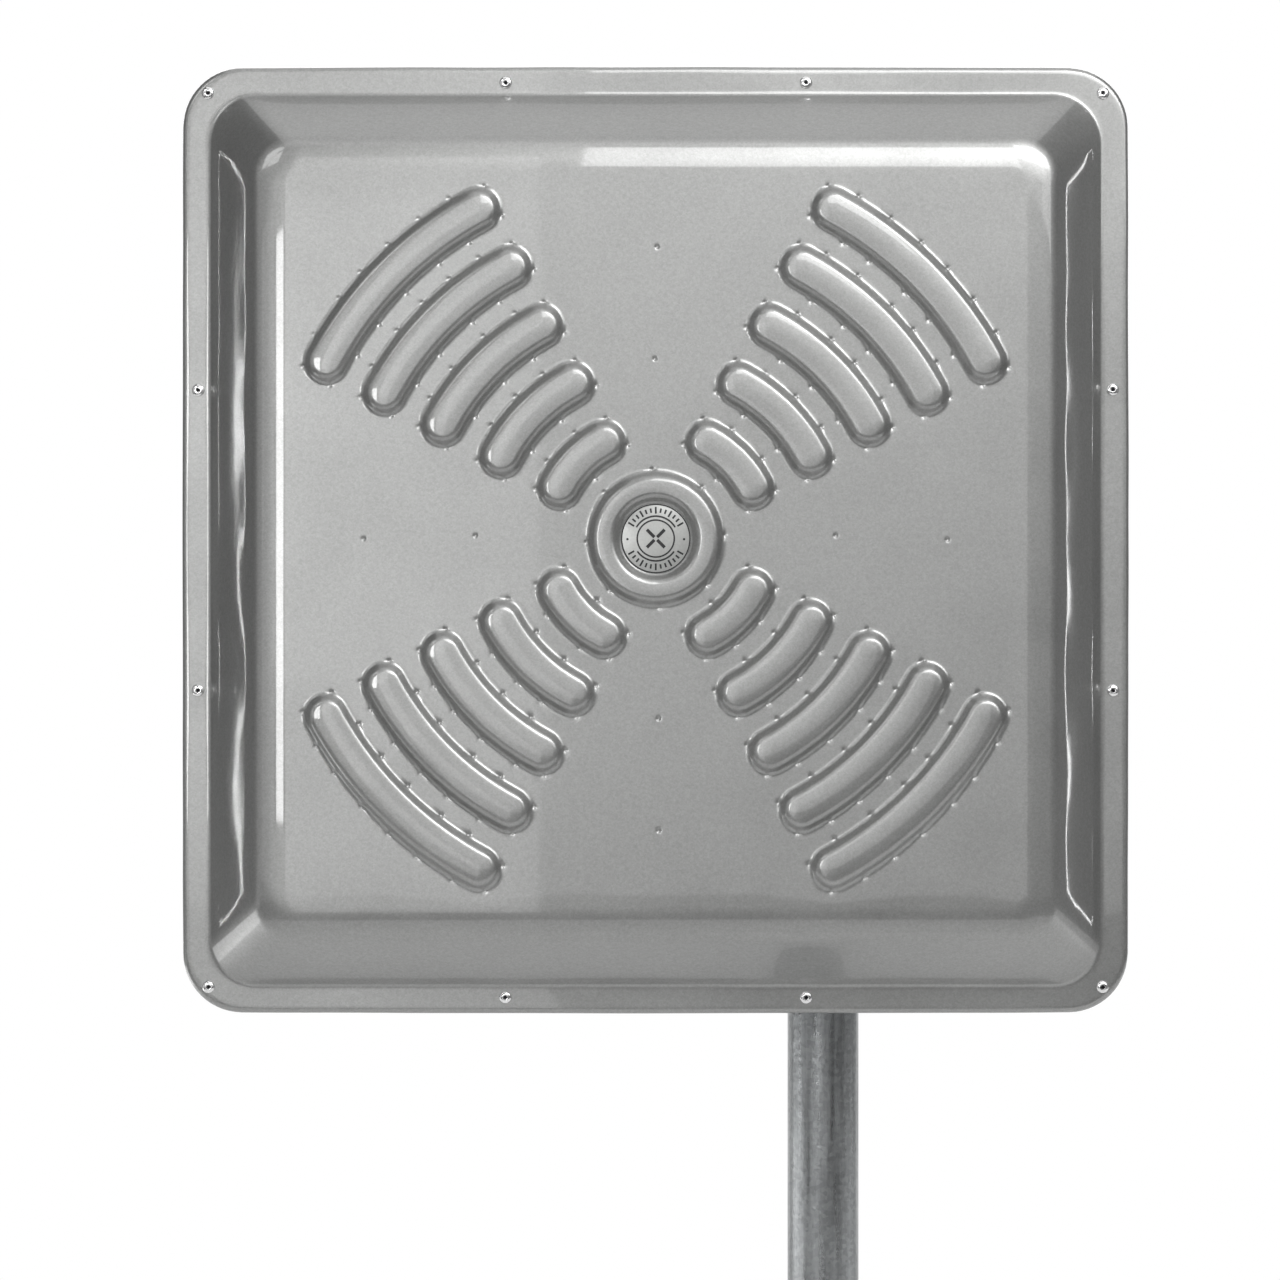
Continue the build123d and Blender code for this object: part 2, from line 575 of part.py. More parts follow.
with BuildPart() as flange_rivets:
    with BuildSketch(flange_front):
        with Locations(*rivet_spots):
            Circle(RIVET_HEAD_R)
    extrude(amount=RIVET_HEAD_H)
    fillet(flange_rivets.edges().filter_by(GeomType.CIRCLE).group_by(Axis.Y)[0], RIVET_HEAD_EDGE_R)
    with BuildSketch(flange_front):
        with Locations(*rivet_spots):
            Circle(RIVET_R)
    extrude(amount=-(RADOME_T + SEAL_T + PLATE_T))
    with BuildSketch(plate_back):
        with Locations(*rivet_spots):
            Circle(RIVET_TAIL_R)
    extrude(amount=-RIVET_TAIL_H)
    fillet(flange_rivets.edges().filter_by(GeomType.CIRCLE).group_by(Axis.Y)[-1], RIVET_TAIL_EDGE_R)
    with BuildSketch(flange_front.offset(RIVET_HEAD_H)):
        with Locations(*rivet_spots):
            Circle(MANDREL_R)
    extrude(amount=-MANDREL_DEPTH, mode=Mode.SUBTRACT)
flange_rivets.part.label = "flange_rivets"
export_step(flange_rivets.part, "parts/flange_rivets.step")


# ================= radome and badge =================
with BuildPart() as radome:
    with BuildSketch(flange_front.offset(-LIP_DEPTH)):
        RectangleRounded(PANEL_SIZE, PANEL_SIZE, PANEL_CORNER_R)
    extrude(amount=LIP_DEPTH)
    fillet(radome.faces().sort_by(Axis.Y)[0].edges(), LIP_ROLL_R)
    with BuildSketch(flange_front):
        RectangleRounded(DOME_FOOT_SIZE, DOME_FOOT_SIZE, DOME_FOOT_CORNER_R)
    with BuildSketch(face_outside):
        RectangleRounded(DOME_FACE_SIZE, DOME_FACE_SIZE, DOME_FACE_CORNER_R)
    loft()
    fillet(radome.faces().sort_by(Axis.Y)[0].edges(), DOME_EDGE_R)
    flange = radome.faces().filter_by(Axis.Y).filter_by_position(
        Axis.Y, FLANGE_FRONT_Y - LEVEL_TOL, FLANGE_FRONT_Y + LEVEL_TOL
    )[0]
    fillet(flange.inner_wires()[0].edges(), DOME_FOOT_R)
    with BuildSketch(flange_front.offset(-LIP_DEPTH)):
        RectangleRounded(
            PANEL_SIZE - 2 * RADOME_T, PANEL_SIZE - 2 * RADOME_T, PANEL_CORNER_R - RADOME_T
        )
    extrude(amount=LIP_DEPTH - RADOME_T, mode=Mode.SUBTRACT)
    with BuildSketch(flange_back):
        RectangleRounded(INNER_FOOT_SIZE, INNER_FOOT_SIZE, INNER_FOOT_CORNER_R)
    with BuildSketch(face_inside):
        RectangleRounded(INNER_FACE_SIZE, INNER_FACE_SIZE, INNER_FACE_CORNER_R)
    loft(mode=Mode.SUBTRACT)
    ceiling = radome.faces().filter_by(Axis.Y).filter_by_position(
        Axis.Y, FLANGE_FRONT_Y - INNER_TOP - LEVEL_TOL, FLANGE_FRONT_Y - INNER_TOP + LEVEL_TOL
    )[0]
    fillet(ceiling.outer_wire().edges(), DOME_EDGE_R - RADOME_T)
    with BuildSketch(face_outside):
        with PolarLocations(0, 4, 45):
            for path in rib_paths:
                SlotArc(path, RIB_WIDTH)
        Circle(RING_OUTER_R)
        Circle(RECESS_R, mode=Mode.SUBTRACT)
    extrude(amount=RIB_HEIGHT, taper=RIB_TAPER)
    with BuildSketch(face_inside):
        with PolarLocations(0, 4, 45):
            for path in rib_paths:
                SlotArc(path, RIB_WIDTH - 2 * FLANK_SHIFT)
        Circle(RING_OUTER_R - FLANK_SHIFT)
        Circle(RECESS_R + FLANK_SHIFT, mode=Mode.SUBTRACT)
    extrude(amount=RIB_HEIGHT, taper=RIB_TAPER, mode=Mode.SUBTRACT)
    crest_edges = radome.edges().filter_by_position(Axis.Y, CREST_Y - LEVEL_TOL, CREST_Y + LEVEL_TOL)
    fillet(crest_edges, RIB_EDGE_R)
    foot_edges = radome.edges().filter_by_position(Axis.Y, FACE_Y - LEVEL_TOL, FACE_Y + LEVEL_TOL)
    raised_feet = foot_edges.filter_by(
        lambda e: RECESS_R < (e @ 0 - face_outside.origin).length < RIB_RADII[-1] + RIB_WIDTH / 2 + LEVEL_TOL
    )
    fillet(raised_feet, RIB_FOOT_R)
    with BuildSketch(flange_back):
        with Locations(*rivet_spots):
            Circle(RIVET_R + HOLE_PLAY)
    extrude(amount=RADOME_T, mode=Mode.SUBTRACT)
radome.part.label = "radome"
export_step(radome.part, "parts/radome.step")

with BuildPart() as badge_disc:
    with BuildSketch(face_outside):
        Circle(BADGE_R)
    extrude(amount=BADGE_T)
badge_disc.part.label = "badge_disc"
export_step(badge_disc.part, "parts/badge_disc.step")


# ================= array inside the radome =================
with BuildPart() as board_spacers:
    with BuildSketch(plate_front):
        with GridLocations(SPACER_PITCH, SPACER_PITCH, 3, 3):
            Circle(SPACER_R)
            Circle(M3_R, mode=Mode.SUBTRACT)
    extrude(amount=BOARD_STANDOFF)
board_spacers.part.label = "board_spacers"
export_step(board_spacers.part, "parts/board_spacers.step")

with BuildPart() as feed_board:
    with BuildSketch(board_back):
        RectangleRounded(BOARD_SIZE, BOARD_SIZE, BOARD_CORNER_R)
        with GridLocations(SPACER_PITCH, SPACER_PITCH, 3, 3):
            Circle(M3_R, mode=Mode.SUBTRACT)
        with GridLocations(ARRAY_PITCH, ARRAY_PITCH, ARRAY_ROWS, ARRAY_ROWS):
            Circle(POST_STEM_R, mode=Mode.SUBTRACT)
        with Locations(*socket_spots):
            Circle(SOCKET_CONTACT_R, mode=Mode.SUBTRACT)
    extrude(amount=BOARD_T)
feed_board.part.label = "feed_board"
export_step(feed_board.part, "parts/feed_board.step")

with BuildPart() as feed_copper:
    with BuildSketch(board_front):
        with GridLocations(ARRAY_PITCH, ARRAY_PITCH, ARRAY_ROWS, ARRAY_ROWS):
            Rectangle(PATCH_SIZE, PATCH_SIZE)
        with GridLocations(ARRAY_PITCH, 2 * ARRAY_PITCH, ARRAY_ROWS, 2):
            Rectangle(FEED_W, ARRAY_PITCH)
        with GridLocations(0, 2 * ARRAY_PITCH, 1, 2):
            Rectangle((ARRAY_ROWS - 1) * ARRAY_PITCH, FEED_W)
        with Locations((FEED_TRUNK_X, 0)):
            Rectangle(FEED_W, 2 * ARRAY_PITCH)
        with Locations((0, -SOCKET_DROP)):
            Rectangle(SOCKET_SPACING + 2 * FEED_W, 2 * FEED_W)
        with GridLocations(ARRAY_PITCH, ARRAY_PITCH, ARRAY_ROWS, ARRAY_ROWS):
            Circle(POST_R, mode=Mode.SUBTRACT)
        with Locations(*socket_spots):
            Circle(SOCKET_CONTACT_R, mode=Mode.SUBTRACT)
    extrude(amount=COPPER_T)
feed_copper.part.label = "feed_copper"
export_step(feed_copper.part, "parts/feed_copper.step")

with BuildPart() as board_screws:
    with BuildSketch(board_front):
        with GridLocations(SPACER_PITCH, SPACER_PITCH, 3, 3):
            Circle(SCREW_HEAD_R)
    extrude(amount=SCREW_HEAD_H)
    fillet(board_screws.edges().filter_by(GeomType.CIRCLE).group_by(Axis.Y)[0], SCREW_EDGE_R)
    with BuildSketch(board_front):
        with GridLocations(SPACER_PITCH, SPACER_PITCH, 3, 3):
            Circle(M3_R)
    extrude(amount=-(BOARD_T + BOARD_STANDOFF + PLATE_T))
board_screws.part.label = "board_screws"
export_step(board_screws.part, "parts/board_screws.step")

with BuildPart() as director_posts:
    with BuildSketch(board_front):
        with GridLocations(ARRAY_PITCH, ARRAY_PITCH, ARRAY_ROWS, ARRAY_ROWS):
            Circle(POST_R)
    extrude(amount=DIRECTOR_STANDOFF)
    with BuildSketch(board_front):
        with GridLocations(ARRAY_PITCH, ARRAY_PITCH, ARRAY_ROWS, ARRAY_ROWS):
            Circle(POST_STEM_R)
    extrude(amount=-BOARD_T)
    with BuildSketch(director_back):
        with GridLocations(ARRAY_PITCH, ARRAY_PITCH, ARRAY_ROWS, ARRAY_ROWS):
            Circle(M3_R)
    extrude(amount=-POST_SCREW_DEPTH, mode=Mode.SUBTRACT)
director_posts.part.label = "director_posts"
export_step(director_posts.part, "parts/director_posts.step")

with BuildPart() as director_plates:
    with BuildSketch(director_back):
        with GridLocations(ARRAY_PITCH, ARRAY_PITCH, ARRAY_ROWS, ARRAY_ROWS):
            RectangleRounded(DIRECTOR_SIZE, DIRECTOR_SIZE, DIRECTOR_CORNER_R)
            Circle(M3_R, mode=Mode.SUBTRACT)
    extrude(amount=DIRECTOR_T)
director_plates.part.label = "director_plates"
export_step(director_plates.part, "parts/director_plates.step")

with BuildPart() as director_screws:
    with BuildSketch(director_front):
        with GridLocations(ARRAY_PITCH, ARRAY_PITCH, ARRAY_ROWS, ARRAY_ROWS):
            Circle(SCREW_HEAD_R)
    extrude(amount=SCREW_HEAD_H)
    fillet(director_screws.edges().filter_by(GeomType.CIRCLE).group_by(Axis.Y)[0], SCREW_EDGE_R)
    with BuildSketch(director_front):
        with GridLocations(ARRAY_PITCH, ARRAY_PITCH, ARRAY_ROWS, ARRAY_ROWS):
            Circle(M3_R)
    extrude(amount=-(DIRECTOR_T + POST_SCREW_DEPTH))
director_screws.part.label = "director_screws"
export_step(director_screws.part, "parts/director_screws.step")


# ================= sockets, vent and label on the back =================
with BuildPart() as socket_gaskets:
    with BuildSketch(plate_back):
        with Locations(*socket_spots):
            RectangleRounded(SOCKET_FLANGE, SOCKET_FLANGE, SOCKET_FLANGE_CORNER_R)
            Circle(SOCKET_SHANK_R, mode=Mode.SUBTRACT)
        with Locations(*screw_spots):
            Circle(M3_R, mode=Mode.SUBTRACT)
    extrude(amount=-SOCKET_GASKET_T)
socket_gaskets.part.label = "socket_gaskets"
export_step(socket_gaskets.part, "parts/socket_gaskets.step")

SOCKET_MOUTH = SOCKET_GASKET_T + SOCKET_FLANGE_T + SOCKET_NECK_L + SOCKET_THREAD_L
with BuildPart() as socket_bodies:
    with BuildSketch(plate_back.offset(-SOCKET_GASKET_T)):
        with Locations(*socket_spots):
            RectangleRounded(SOCKET_FLANGE, SOCKET_FLANGE, SOCKET_FLANGE_CORNER_R)
        with Locations(*screw_spots):
            Circle(M3_R, mode=Mode.SUBTRACT)
    extrude(amount=-SOCKET_FLANGE_T)
    with BuildSketch(plate_back.offset(-SOCKET_GASKET_T)):
        with Locations(*socket_spots):
            Circle(SOCKET_SHANK_R)
    extrude(amount=SOCKET_SHANK_L)
    with BuildSketch(plate_back.offset(-SOCKET_GASKET_T - SOCKET_FLANGE_T)):
        with Locations(*socket_spots):
            Circle(SOCKET_NECK_R)
    extrude(amount=-SOCKET_NECK_L)
    with BuildSketch(plate_back.offset(SOCKET_THREAD_L - SOCKET_MOUTH)):
        with Locations(*socket_spots):
            Circle(SOCKET_THREAD_R)
    extrude(amount=-SOCKET_THREAD_L)
    chamfer(socket_bodies.edges().filter_by(GeomType.CIRCLE).group_by(Axis.Y)[-1], SOCKET_CHAMFER)
    with BuildSketch(plate_back.offset(-SOCKET_MOUTH)):
        with Locations(*socket_spots):
            Circle(SOCKET_BORE_R)
    extrude(amount=SOCKET_MOUTH - SOCKET_GASKET_T + SOCKET_SHANK_L, mode=Mode.SUBTRACT)
socket_bodies.part.label = "socket_bodies"
export_step(socket_bodies.part, "parts/socket_bodies.step")

with BuildPart() as socket_insulators:
    with BuildSketch(plate_back.offset(SOCKET_BORE_DEPTH - SOCKET_MOUTH)):
        with Locations(*socket_spots):
            Circle(SOCKET_BORE_R)
            Circle(SOCKET_CONTACT_R, mode=Mode.SUBTRACT)
    extrude(amount=SOCKET_MOUTH - SOCKET_BORE_DEPTH + PLATE_T + BOARD_STANDOFF)
socket_insulators.part.label = "socket_insulators"
export_step(socket_insulators.part, "parts/socket_insulators.step")

with BuildPart() as socket_contacts:
    with BuildSketch(plate_back.offset(SOCKET_CONTACT_SETBACK - SOCKET_MOUTH)):
        with Locations(*socket_spots):
            Circle(SOCKET_CONTACT_R)
    extrude(
        amount=SOCKET_MOUTH - SOCKET_CONTACT_SETBACK + PLATE_T + BOARD_STANDOFF + BOARD_T + SOCKET_SOLDER_L
    )
    with BuildSketch(plate_back.offset(SOCKET_CONTACT_SETBACK - SOCKET_MOUTH)):
        with Locations(*socket_spots):
            Circle(SOCKET_CONTACT_BORE_R)
    extrude(amount=SOCKET_CONTACT_BORE_DEPTH, mode=Mode.SUBTRACT)
socket_contacts.part.label = "socket_contacts"
export_step(socket_contacts.part, "parts/socket_contacts.step")

with BuildPart() as socket_screws:
    with BuildSketch(plate_back.offset(-SOCKET_GASKET_T - SOCKET_FLANGE_T)):
        with Locations(*screw_spots):
            Circle(SCREW_HEAD_R)
    extrude(amount=-SCREW_HEAD_H)
    fillet(socket_screws.edges().filter_by(GeomType.CIRCLE).group_by(Axis.Y)[-1], SCREW_EDGE_R)
    with BuildSketch(plate_back.offset(-SOCKET_GASKET_T - SOCKET_FLANGE_T)):
        with Locations(*screw_spots):
            Circle(M3_R)
    extrude(amount=SOCKET_FLANGE_T + SOCKET_GASKET_T + PLATE_T)
socket_screws.part.label = "socket_screws"
export_step(socket_screws.part, "parts/socket_screws.step")

with BuildPart() as drain_vent:
    with BuildSketch(plate_back):
        with Locations((0, -VENT_DROP)):
            Circle(VENT_HEAD_R)
    extrude(amount=-VENT_HEAD_H)
    fillet(drain_vent.edges().filter_by(GeomType.CIRCLE).group_by(Axis.Y)[-1], VENT_EDGE_R)
    with BuildSketch(plate_back):
        with Locations((0, -VENT_DROP)):
            Circle(VENT_STEM_R)
    extrude(amount=PLATE_T + VENT_STEM_L)
drain_vent.part.label = "drain_vent"
export_step(drain_vent.part, "parts/drain_vent.step")

with BuildPart() as rear_label:
    with BuildSketch(plate_back):
        with Locations((LABEL_X, LABEL_Z)):
            RectangleRounded(LABEL_W, LABEL_H, LABEL_CORNER_R)
    extrude(amount=-LABEL_T)
rear_label.part.label = "rear_label"
export_step(rear_label.part, "parts/rear_label.step")
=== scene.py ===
"""Looks of a square flat-panel antenna on its mast, built round the fixed CAD frame."""

import random
from math import acos, atan, atan2, cos, hypot, pi, radians, sin, sqrt, tan

import bmesh
import bpy
from bpy.props import FloatProperty, FloatVectorProperty, IntProperty, PointerProperty
from mathutils import Matrix, Vector, noise


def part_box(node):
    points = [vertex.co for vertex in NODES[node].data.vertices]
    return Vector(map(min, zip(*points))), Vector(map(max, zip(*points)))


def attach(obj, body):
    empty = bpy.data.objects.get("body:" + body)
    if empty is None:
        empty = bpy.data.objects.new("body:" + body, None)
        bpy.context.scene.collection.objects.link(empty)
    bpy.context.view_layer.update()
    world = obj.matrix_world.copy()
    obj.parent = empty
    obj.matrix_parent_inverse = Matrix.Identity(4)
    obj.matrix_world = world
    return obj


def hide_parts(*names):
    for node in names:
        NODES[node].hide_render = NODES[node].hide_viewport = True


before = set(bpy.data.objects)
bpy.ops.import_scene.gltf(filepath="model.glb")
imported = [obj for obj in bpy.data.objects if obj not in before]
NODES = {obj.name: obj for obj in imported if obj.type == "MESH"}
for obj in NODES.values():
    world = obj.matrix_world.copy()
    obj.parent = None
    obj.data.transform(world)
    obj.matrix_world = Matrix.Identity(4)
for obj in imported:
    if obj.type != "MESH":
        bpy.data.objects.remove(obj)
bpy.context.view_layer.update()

bl_info = {
    "name": "Flat Panel Antenna",
    "version": (1, 0, 0),
    "blender": (4, 5, 0),
    "location": "3D View > Sidebar > Antenna",
    "description": "Builds the radome, fittings, finishes and studio of a mast-mounted panel antenna",
    "category": "Object",
}

MM = 0.001
# points closer than this are one point: in a turned profile, and where patches meet
SEAM = 1e-7
PATCH_SEAM = 2e-6

# ---- Places taken from the frame ----
RADOME_LOW, RADOME_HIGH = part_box("radome")
PANEL_X = (RADOME_LOW.x + RADOME_HIGH.x) / 2
PANEL_Z = (RADOME_LOW.z + RADOME_HIGH.z) / 2
PANEL_HALF = (RADOME_HIGH.x - RADOME_LOW.x) / 2
BADGE_LOW, BADGE_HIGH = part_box("badge_disc")
FACE_Y = BADGE_HIGH.y
MAST_LOW, MAST_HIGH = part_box("mast_tube")
MAST_R = (MAST_HIGH.x - MAST_LOW.x) / 2
PLATE_LOW, PLATE_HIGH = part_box("reflector_plate")


# ---- Sizes and colours ----
class RadomeSizes(bpy.types.PropertyGroup):
    """Sizes of the vacuum-formed cover"""

    dome_height: FloatProperty(
        name="Dome Height", description="Face of the dome in front of the flange",
        default=35.0 * MM, unit="LENGTH",
    )
    face_size: FloatProperty(
        name="Face Size", description="Side of the dome's face, edge to edge",
        default=371.0 * MM, unit="LENGTH",
    )
    foot_size: FloatProperty(
        name="Foot Size", description="Side of the dome where it meets the flange",
        default=424.0 * MM, unit="LENGTH",
    )
    face_corner: FloatProperty(
        name="Face Corner", description="Corner radius of the dome's face", default=19.0 * MM, unit="LENGTH"
    )
    foot_corner: FloatProperty(
        name="Foot Corner", description="Corner radius of the dome's foot", default=23.0 * MM, unit="LENGTH"
    )
    flange_corner: FloatProperty(
        name="Flange Corner", description="Corner radius of the flange's edge",
        default=28.0 * MM, unit="LENGTH",
    )
    shoulder_radius: FloatProperty(
        name="Shoulder Radius", description="Wide rounding where the dome's face begins to turn",
        default=36.0 * MM, unit="LENGTH",
    )
    shoulder_angle: FloatProperty(
        name="Shoulder Angle", description="Slope at which the wide rounding ends", default=radians(20),
        subtype="ANGLE",
    )
    edge_radius: FloatProperty(
        name="Edge Radius", description="Tight rounding from the shoulder into the walls", default=11.0 * MM,
        unit="LENGTH",
    )
    foot_radius: FloatProperty(
        name="Foot Radius", description="Rounding between wall and flange", default=2.8 * MM, unit="LENGTH"
    )
    roll_radius: FloatProperty(
        name="Roll Radius", description="Rounding of the flange into its lip", default=2.5 * MM, unit="LENGTH"
    )
    lip_depth: FloatProperty(
        name="Lip Depth", description="Depth of the lip behind the flange", default=6.5 * MM, unit="LENGTH"
    )
    wall: FloatProperty(name="Wall", description="Thickness of the sheet", default=2.0 * MM, unit="LENGTH")
    rib_first: FloatProperty(
        name="First Rib", description="Centre radius of the innermost rib", default=51.3 * MM, unit="LENGTH"
    )
    rib_pitch: FloatProperty(
        name="Rib Pitch", description="Step from rib to rib", default=31.05 * MM, unit="LENGTH"
    )
    rib_spread: FloatProperty(
        name="Rib Spread", description="Half the angle between a rib's end centres", default=radians(16.7),
        subtype="ANGLE",
    )
    rib_width: FloatProperty(
        name="Rib Width", description="Width of a rib at the face", default=20.6 * MM, unit="LENGTH"
    )
    rib_height: FloatProperty(
        name="Rib Height", description="Height of ribs and ring over the face",
        default=4.8 * MM, unit="LENGTH",
    )
    rib_count: IntProperty(
        name="Ribs", description="Ribs in each fan", default=5, min=1, subtype="UNSIGNED"
    )
    rib_slope: FloatProperty(
        name="Rib Slope", description="Slope of a rib's flank from the face",
        default=radians(55), subtype="ANGLE",
    )
    ring_radius: FloatProperty(
        name="Ring Radius", description="Radius of the raised ring at the face",
        default=31.7 * MM, unit="LENGTH",
    )
    recess_radius: FloatProperty(
        name="Recess Radius", description="Radius of the recess inside the ring",
        default=17.0 * MM, unit="LENGTH",
    )
    dent_radius: FloatProperty(
        name="Dent Radius", description="Radius of the small vacuum dents", default=1.5 * MM, unit="LENGTH"
    )
    dent_depth: FloatProperty(
        name="Dent Depth", description="Depth of the small vacuum dents", default=0.8 * MM, unit="LENGTH"
    )
    dent_spacing: FloatProperty(
        name="Dent Spacing", description="Distance between dents along a rib",
        default=17.5 * MM, unit="LENGTH",
    )


class FittingSizes(bpy.types.PropertyGroup):
    """Sizes of rivets and mast"""

    rivet_side_inset: FloatProperty(
        name="Rivet Inset", description="Rivets from the flange's edge", default=7.1 * MM, unit="LENGTH"
    )
    rivet_corner_inset: FloatProperty(
        name="Corner Rivet Inset", description="Corner rivets from both edges",
        default=12.0 * MM, unit="LENGTH",
    )
    rivet_offset: FloatProperty(
        name="Rivet Offset", description="Side rivets from the panel's centre line",
        default=71.5 * MM, unit="LENGTH",
    )
    rivet_head: FloatProperty(
        name="Rivet Head", description="Radius of a rivet's head", default=3.0 * MM, unit="LENGTH"
    )
    mast_wall: FloatProperty(
        name="Mast Wall", description="Wall of the mast tube",
        default=2.0 * MM, unit="LENGTH",
    )
    foot_grip: FloatProperty(
        name="Foot Grip", description="Plain length of the mast below its groove",
        default=60.0 * MM, unit="LENGTH",
    )
    groove_radius: FloatProperty(
        name="Groove Radius", description="Radius of the rolled groove's section",
        default=2.0 * MM, unit="LENGTH",
    )
    groove_depth: FloatProperty(
        name="Groove Depth", description="Depth of the rolled groove", default=0.8 * MM, unit="LENGTH"
    )


class FastenerSizes(bpy.types.PropertyGroup):
    """Sizes of bolts, nuts, washers and coaxial sockets"""

    m8_radius: FloatProperty(
        name="M8 Radius", description="Outer radius of M8",
        default=4.0 * MM, unit="LENGTH",
    )
    m8_pitch: FloatProperty(
        name="M8 Pitch", description="Pitch of M8 thread",
        default=1.25 * MM, unit="LENGTH",
    )
    m8_flats: FloatProperty(
        name="M8 Flats", description="Width over flats of M8",
        default=13.0 * MM, unit="LENGTH",
    )
    m8_washer: FloatProperty(
        name="M8 Washer", description="Radius of an M8 washer",
        default=8.0 * MM, unit="LENGTH",
    )
    m6_radius: FloatProperty(
        name="M6 Radius", description="Outer radius of M6",
        default=3.0 * MM, unit="LENGTH",
    )
    m6_pitch: FloatProperty(
        name="M6 Pitch", description="Pitch of M6 thread",
        default=1.0 * MM, unit="LENGTH",
    )
    m6_flats: FloatProperty(
        name="M6 Flats", description="Width over flats of M6",
        default=10.0 * MM, unit="LENGTH",
    )
    m6_washer: FloatProperty(
        name="M6 Washer", description="Radius of an M6 washer",
        default=6.0 * MM, unit="LENGTH",
    )
    socket_radius: FloatProperty(
        name="Socket Radius", description="Outer radius of a socket's thread",
        default=7.94 * MM, unit="LENGTH",
    )
    socket_pitch: FloatProperty(
        name="Socket Pitch", description="Pitch of a socket's thread", default=1.058 * MM, unit="LENGTH"
    )
    socket_flange: FloatProperty(
        name="Socket Flange", description="Side of a socket's square flange", default=25.4 * MM, unit="LENGTH"
    )
    socket_screws: FloatProperty(
        name="Socket Screws", description="Spacing of a socket's four screws",
        default=18.3 * MM, unit="LENGTH",
    )


class StudioSettings(bpy.types.PropertyGroup):
    """Camera and floor"""

    distance: FloatProperty(
        name="Distance", description="Camera to the flange's front", default=2.4, unit="LENGTH"
    )
    below: FloatProperty(
        name="Below", description="Camera below the panel's centre", default=47.6 * MM, unit="LENGTH"
    )
    left: FloatProperty(
        name="Left", description="Camera to the left of the panel's centre", default=7.4 * MM, unit="LENGTH"
    )
    view_width: FloatProperty(
        name="View Width", description="Width seen at the flange's front", default=0.6095, unit="LENGTH"
    )
    floor_radius: FloatProperty(
        name="Floor Radius", description="Radius of the pale floor", default=0.85, unit="LENGTH"
    )


class FinishColours(bpy.types.PropertyGroup):
    """Base colours of the finishes"""

    radome: FloatVectorProperty(
        name="Radome", description="Silver-grey plastic",
        default=(0.30, 0.302, 0.297), size=3, subtype="COLOR",
    )
    zinc: FloatVectorProperty(
        name="Zinc", description="Hot-dip galvanising", default=(0.30, 0.31, 0.315), size=3, subtype="COLOR"
    )
    plated: FloatVectorProperty(
        name="Plated", description="Bright zinc plating of the fasteners", default=(0.66, 0.66, 0.63), size=3,
        subtype="COLOR",
    )
    alloy: FloatVectorProperty(
        name="Alloy", description="Aluminium sheet", default=(0.74, 0.75, 0.76), size=3, subtype="COLOR"
    )
    black: FloatVectorProperty(
        name="Black", description="Black plastic and rubber",
        default=(0.025, 0.025, 0.027), size=3, subtype="COLOR",
    )
    ink: FloatVectorProperty(
        name="Ink", description="Dark print on the badge",
        default=(0.008, 0.008, 0.009), size=3, subtype="COLOR",
    )


# ---- Node groups shared by the finishes ----
def new_group(name, **values):
    """A shader node group that turns a Vector and named numbers into one Value."""
    group = bpy.data.node_groups.new(name, "ShaderNodeTree")
    group.interface.new_socket(name="Vector", in_out="INPUT", socket_type="NodeSocketVector")
    for label, value in values.items():
        socket = group.interface.new_socket(name=label, in_out="INPUT", socket_type="NodeSocketFloat")
        socket.default_value = value
    group.interface.new_socket(name="Value", in_out="OUTPUT", socket_type="NodeSocketFloat")
    return group, group.nodes.new("NodeGroupInput").outputs, group.nodes.new("NodeGroupOutput").inputs


def end_group(group, value, given, results):
    """Map a 0 to 1 value to the range between the group's Low and High."""
    node = group.nodes.new("ShaderNodeMapRange")
    group.links.new(value, node.inputs["Value"])
    group.links.new(given["Low"], node.inputs["To Min"])
    group.links.new(given["High"], node.inputs["To Max"])
    group.links.new(node.outputs["Result"], results["Value"])


def widened(group, noise_value):
    """Noise stays near its middle; stretch that part over 0 to 1."""
    node = group.nodes.new("ShaderNodeMapRange")
    node.inputs["From Min"].default_value = 0.3
    node.inputs["From Max"].default_value = 0.7
    group.links.new(noise_value, node.inputs["Value"])
    return node.outputs["Result"]


def make_cloud_group():
    """Soft uneven tone: noise between two values."""
    group, given, results = new_group("Cloud", Scale=40.0, Detail=4.0, Low=0.0, High=1.0)
    tex = group.nodes.new("ShaderNodeTexNoise")
    for label in ("Vector", "Scale", "Detail"):
        group.links.new(given[label], tex.inputs[label])
    end_group(group, widened(group, tex.outputs["Fac"]), given, results)


def make_fleck_group():
    """Fine cells of random tone: metal flake, zinc spangle or cast grain."""
    group, given, results = new_group("Fleck", Scale=900.0, Low=0.0, High=1.0)
    tex = group.nodes.new("ShaderNodeTexVoronoi")
    for label in ("Vector", "Scale"):
        group.links.new(given[label], tex.inputs[label])
    split = group.nodes.new("ShaderNodeSeparateColor")
    group.links.new(tex.outputs["Color"], split.inputs["Color"])
    end_group(group, split.outputs["Red"], given, results)


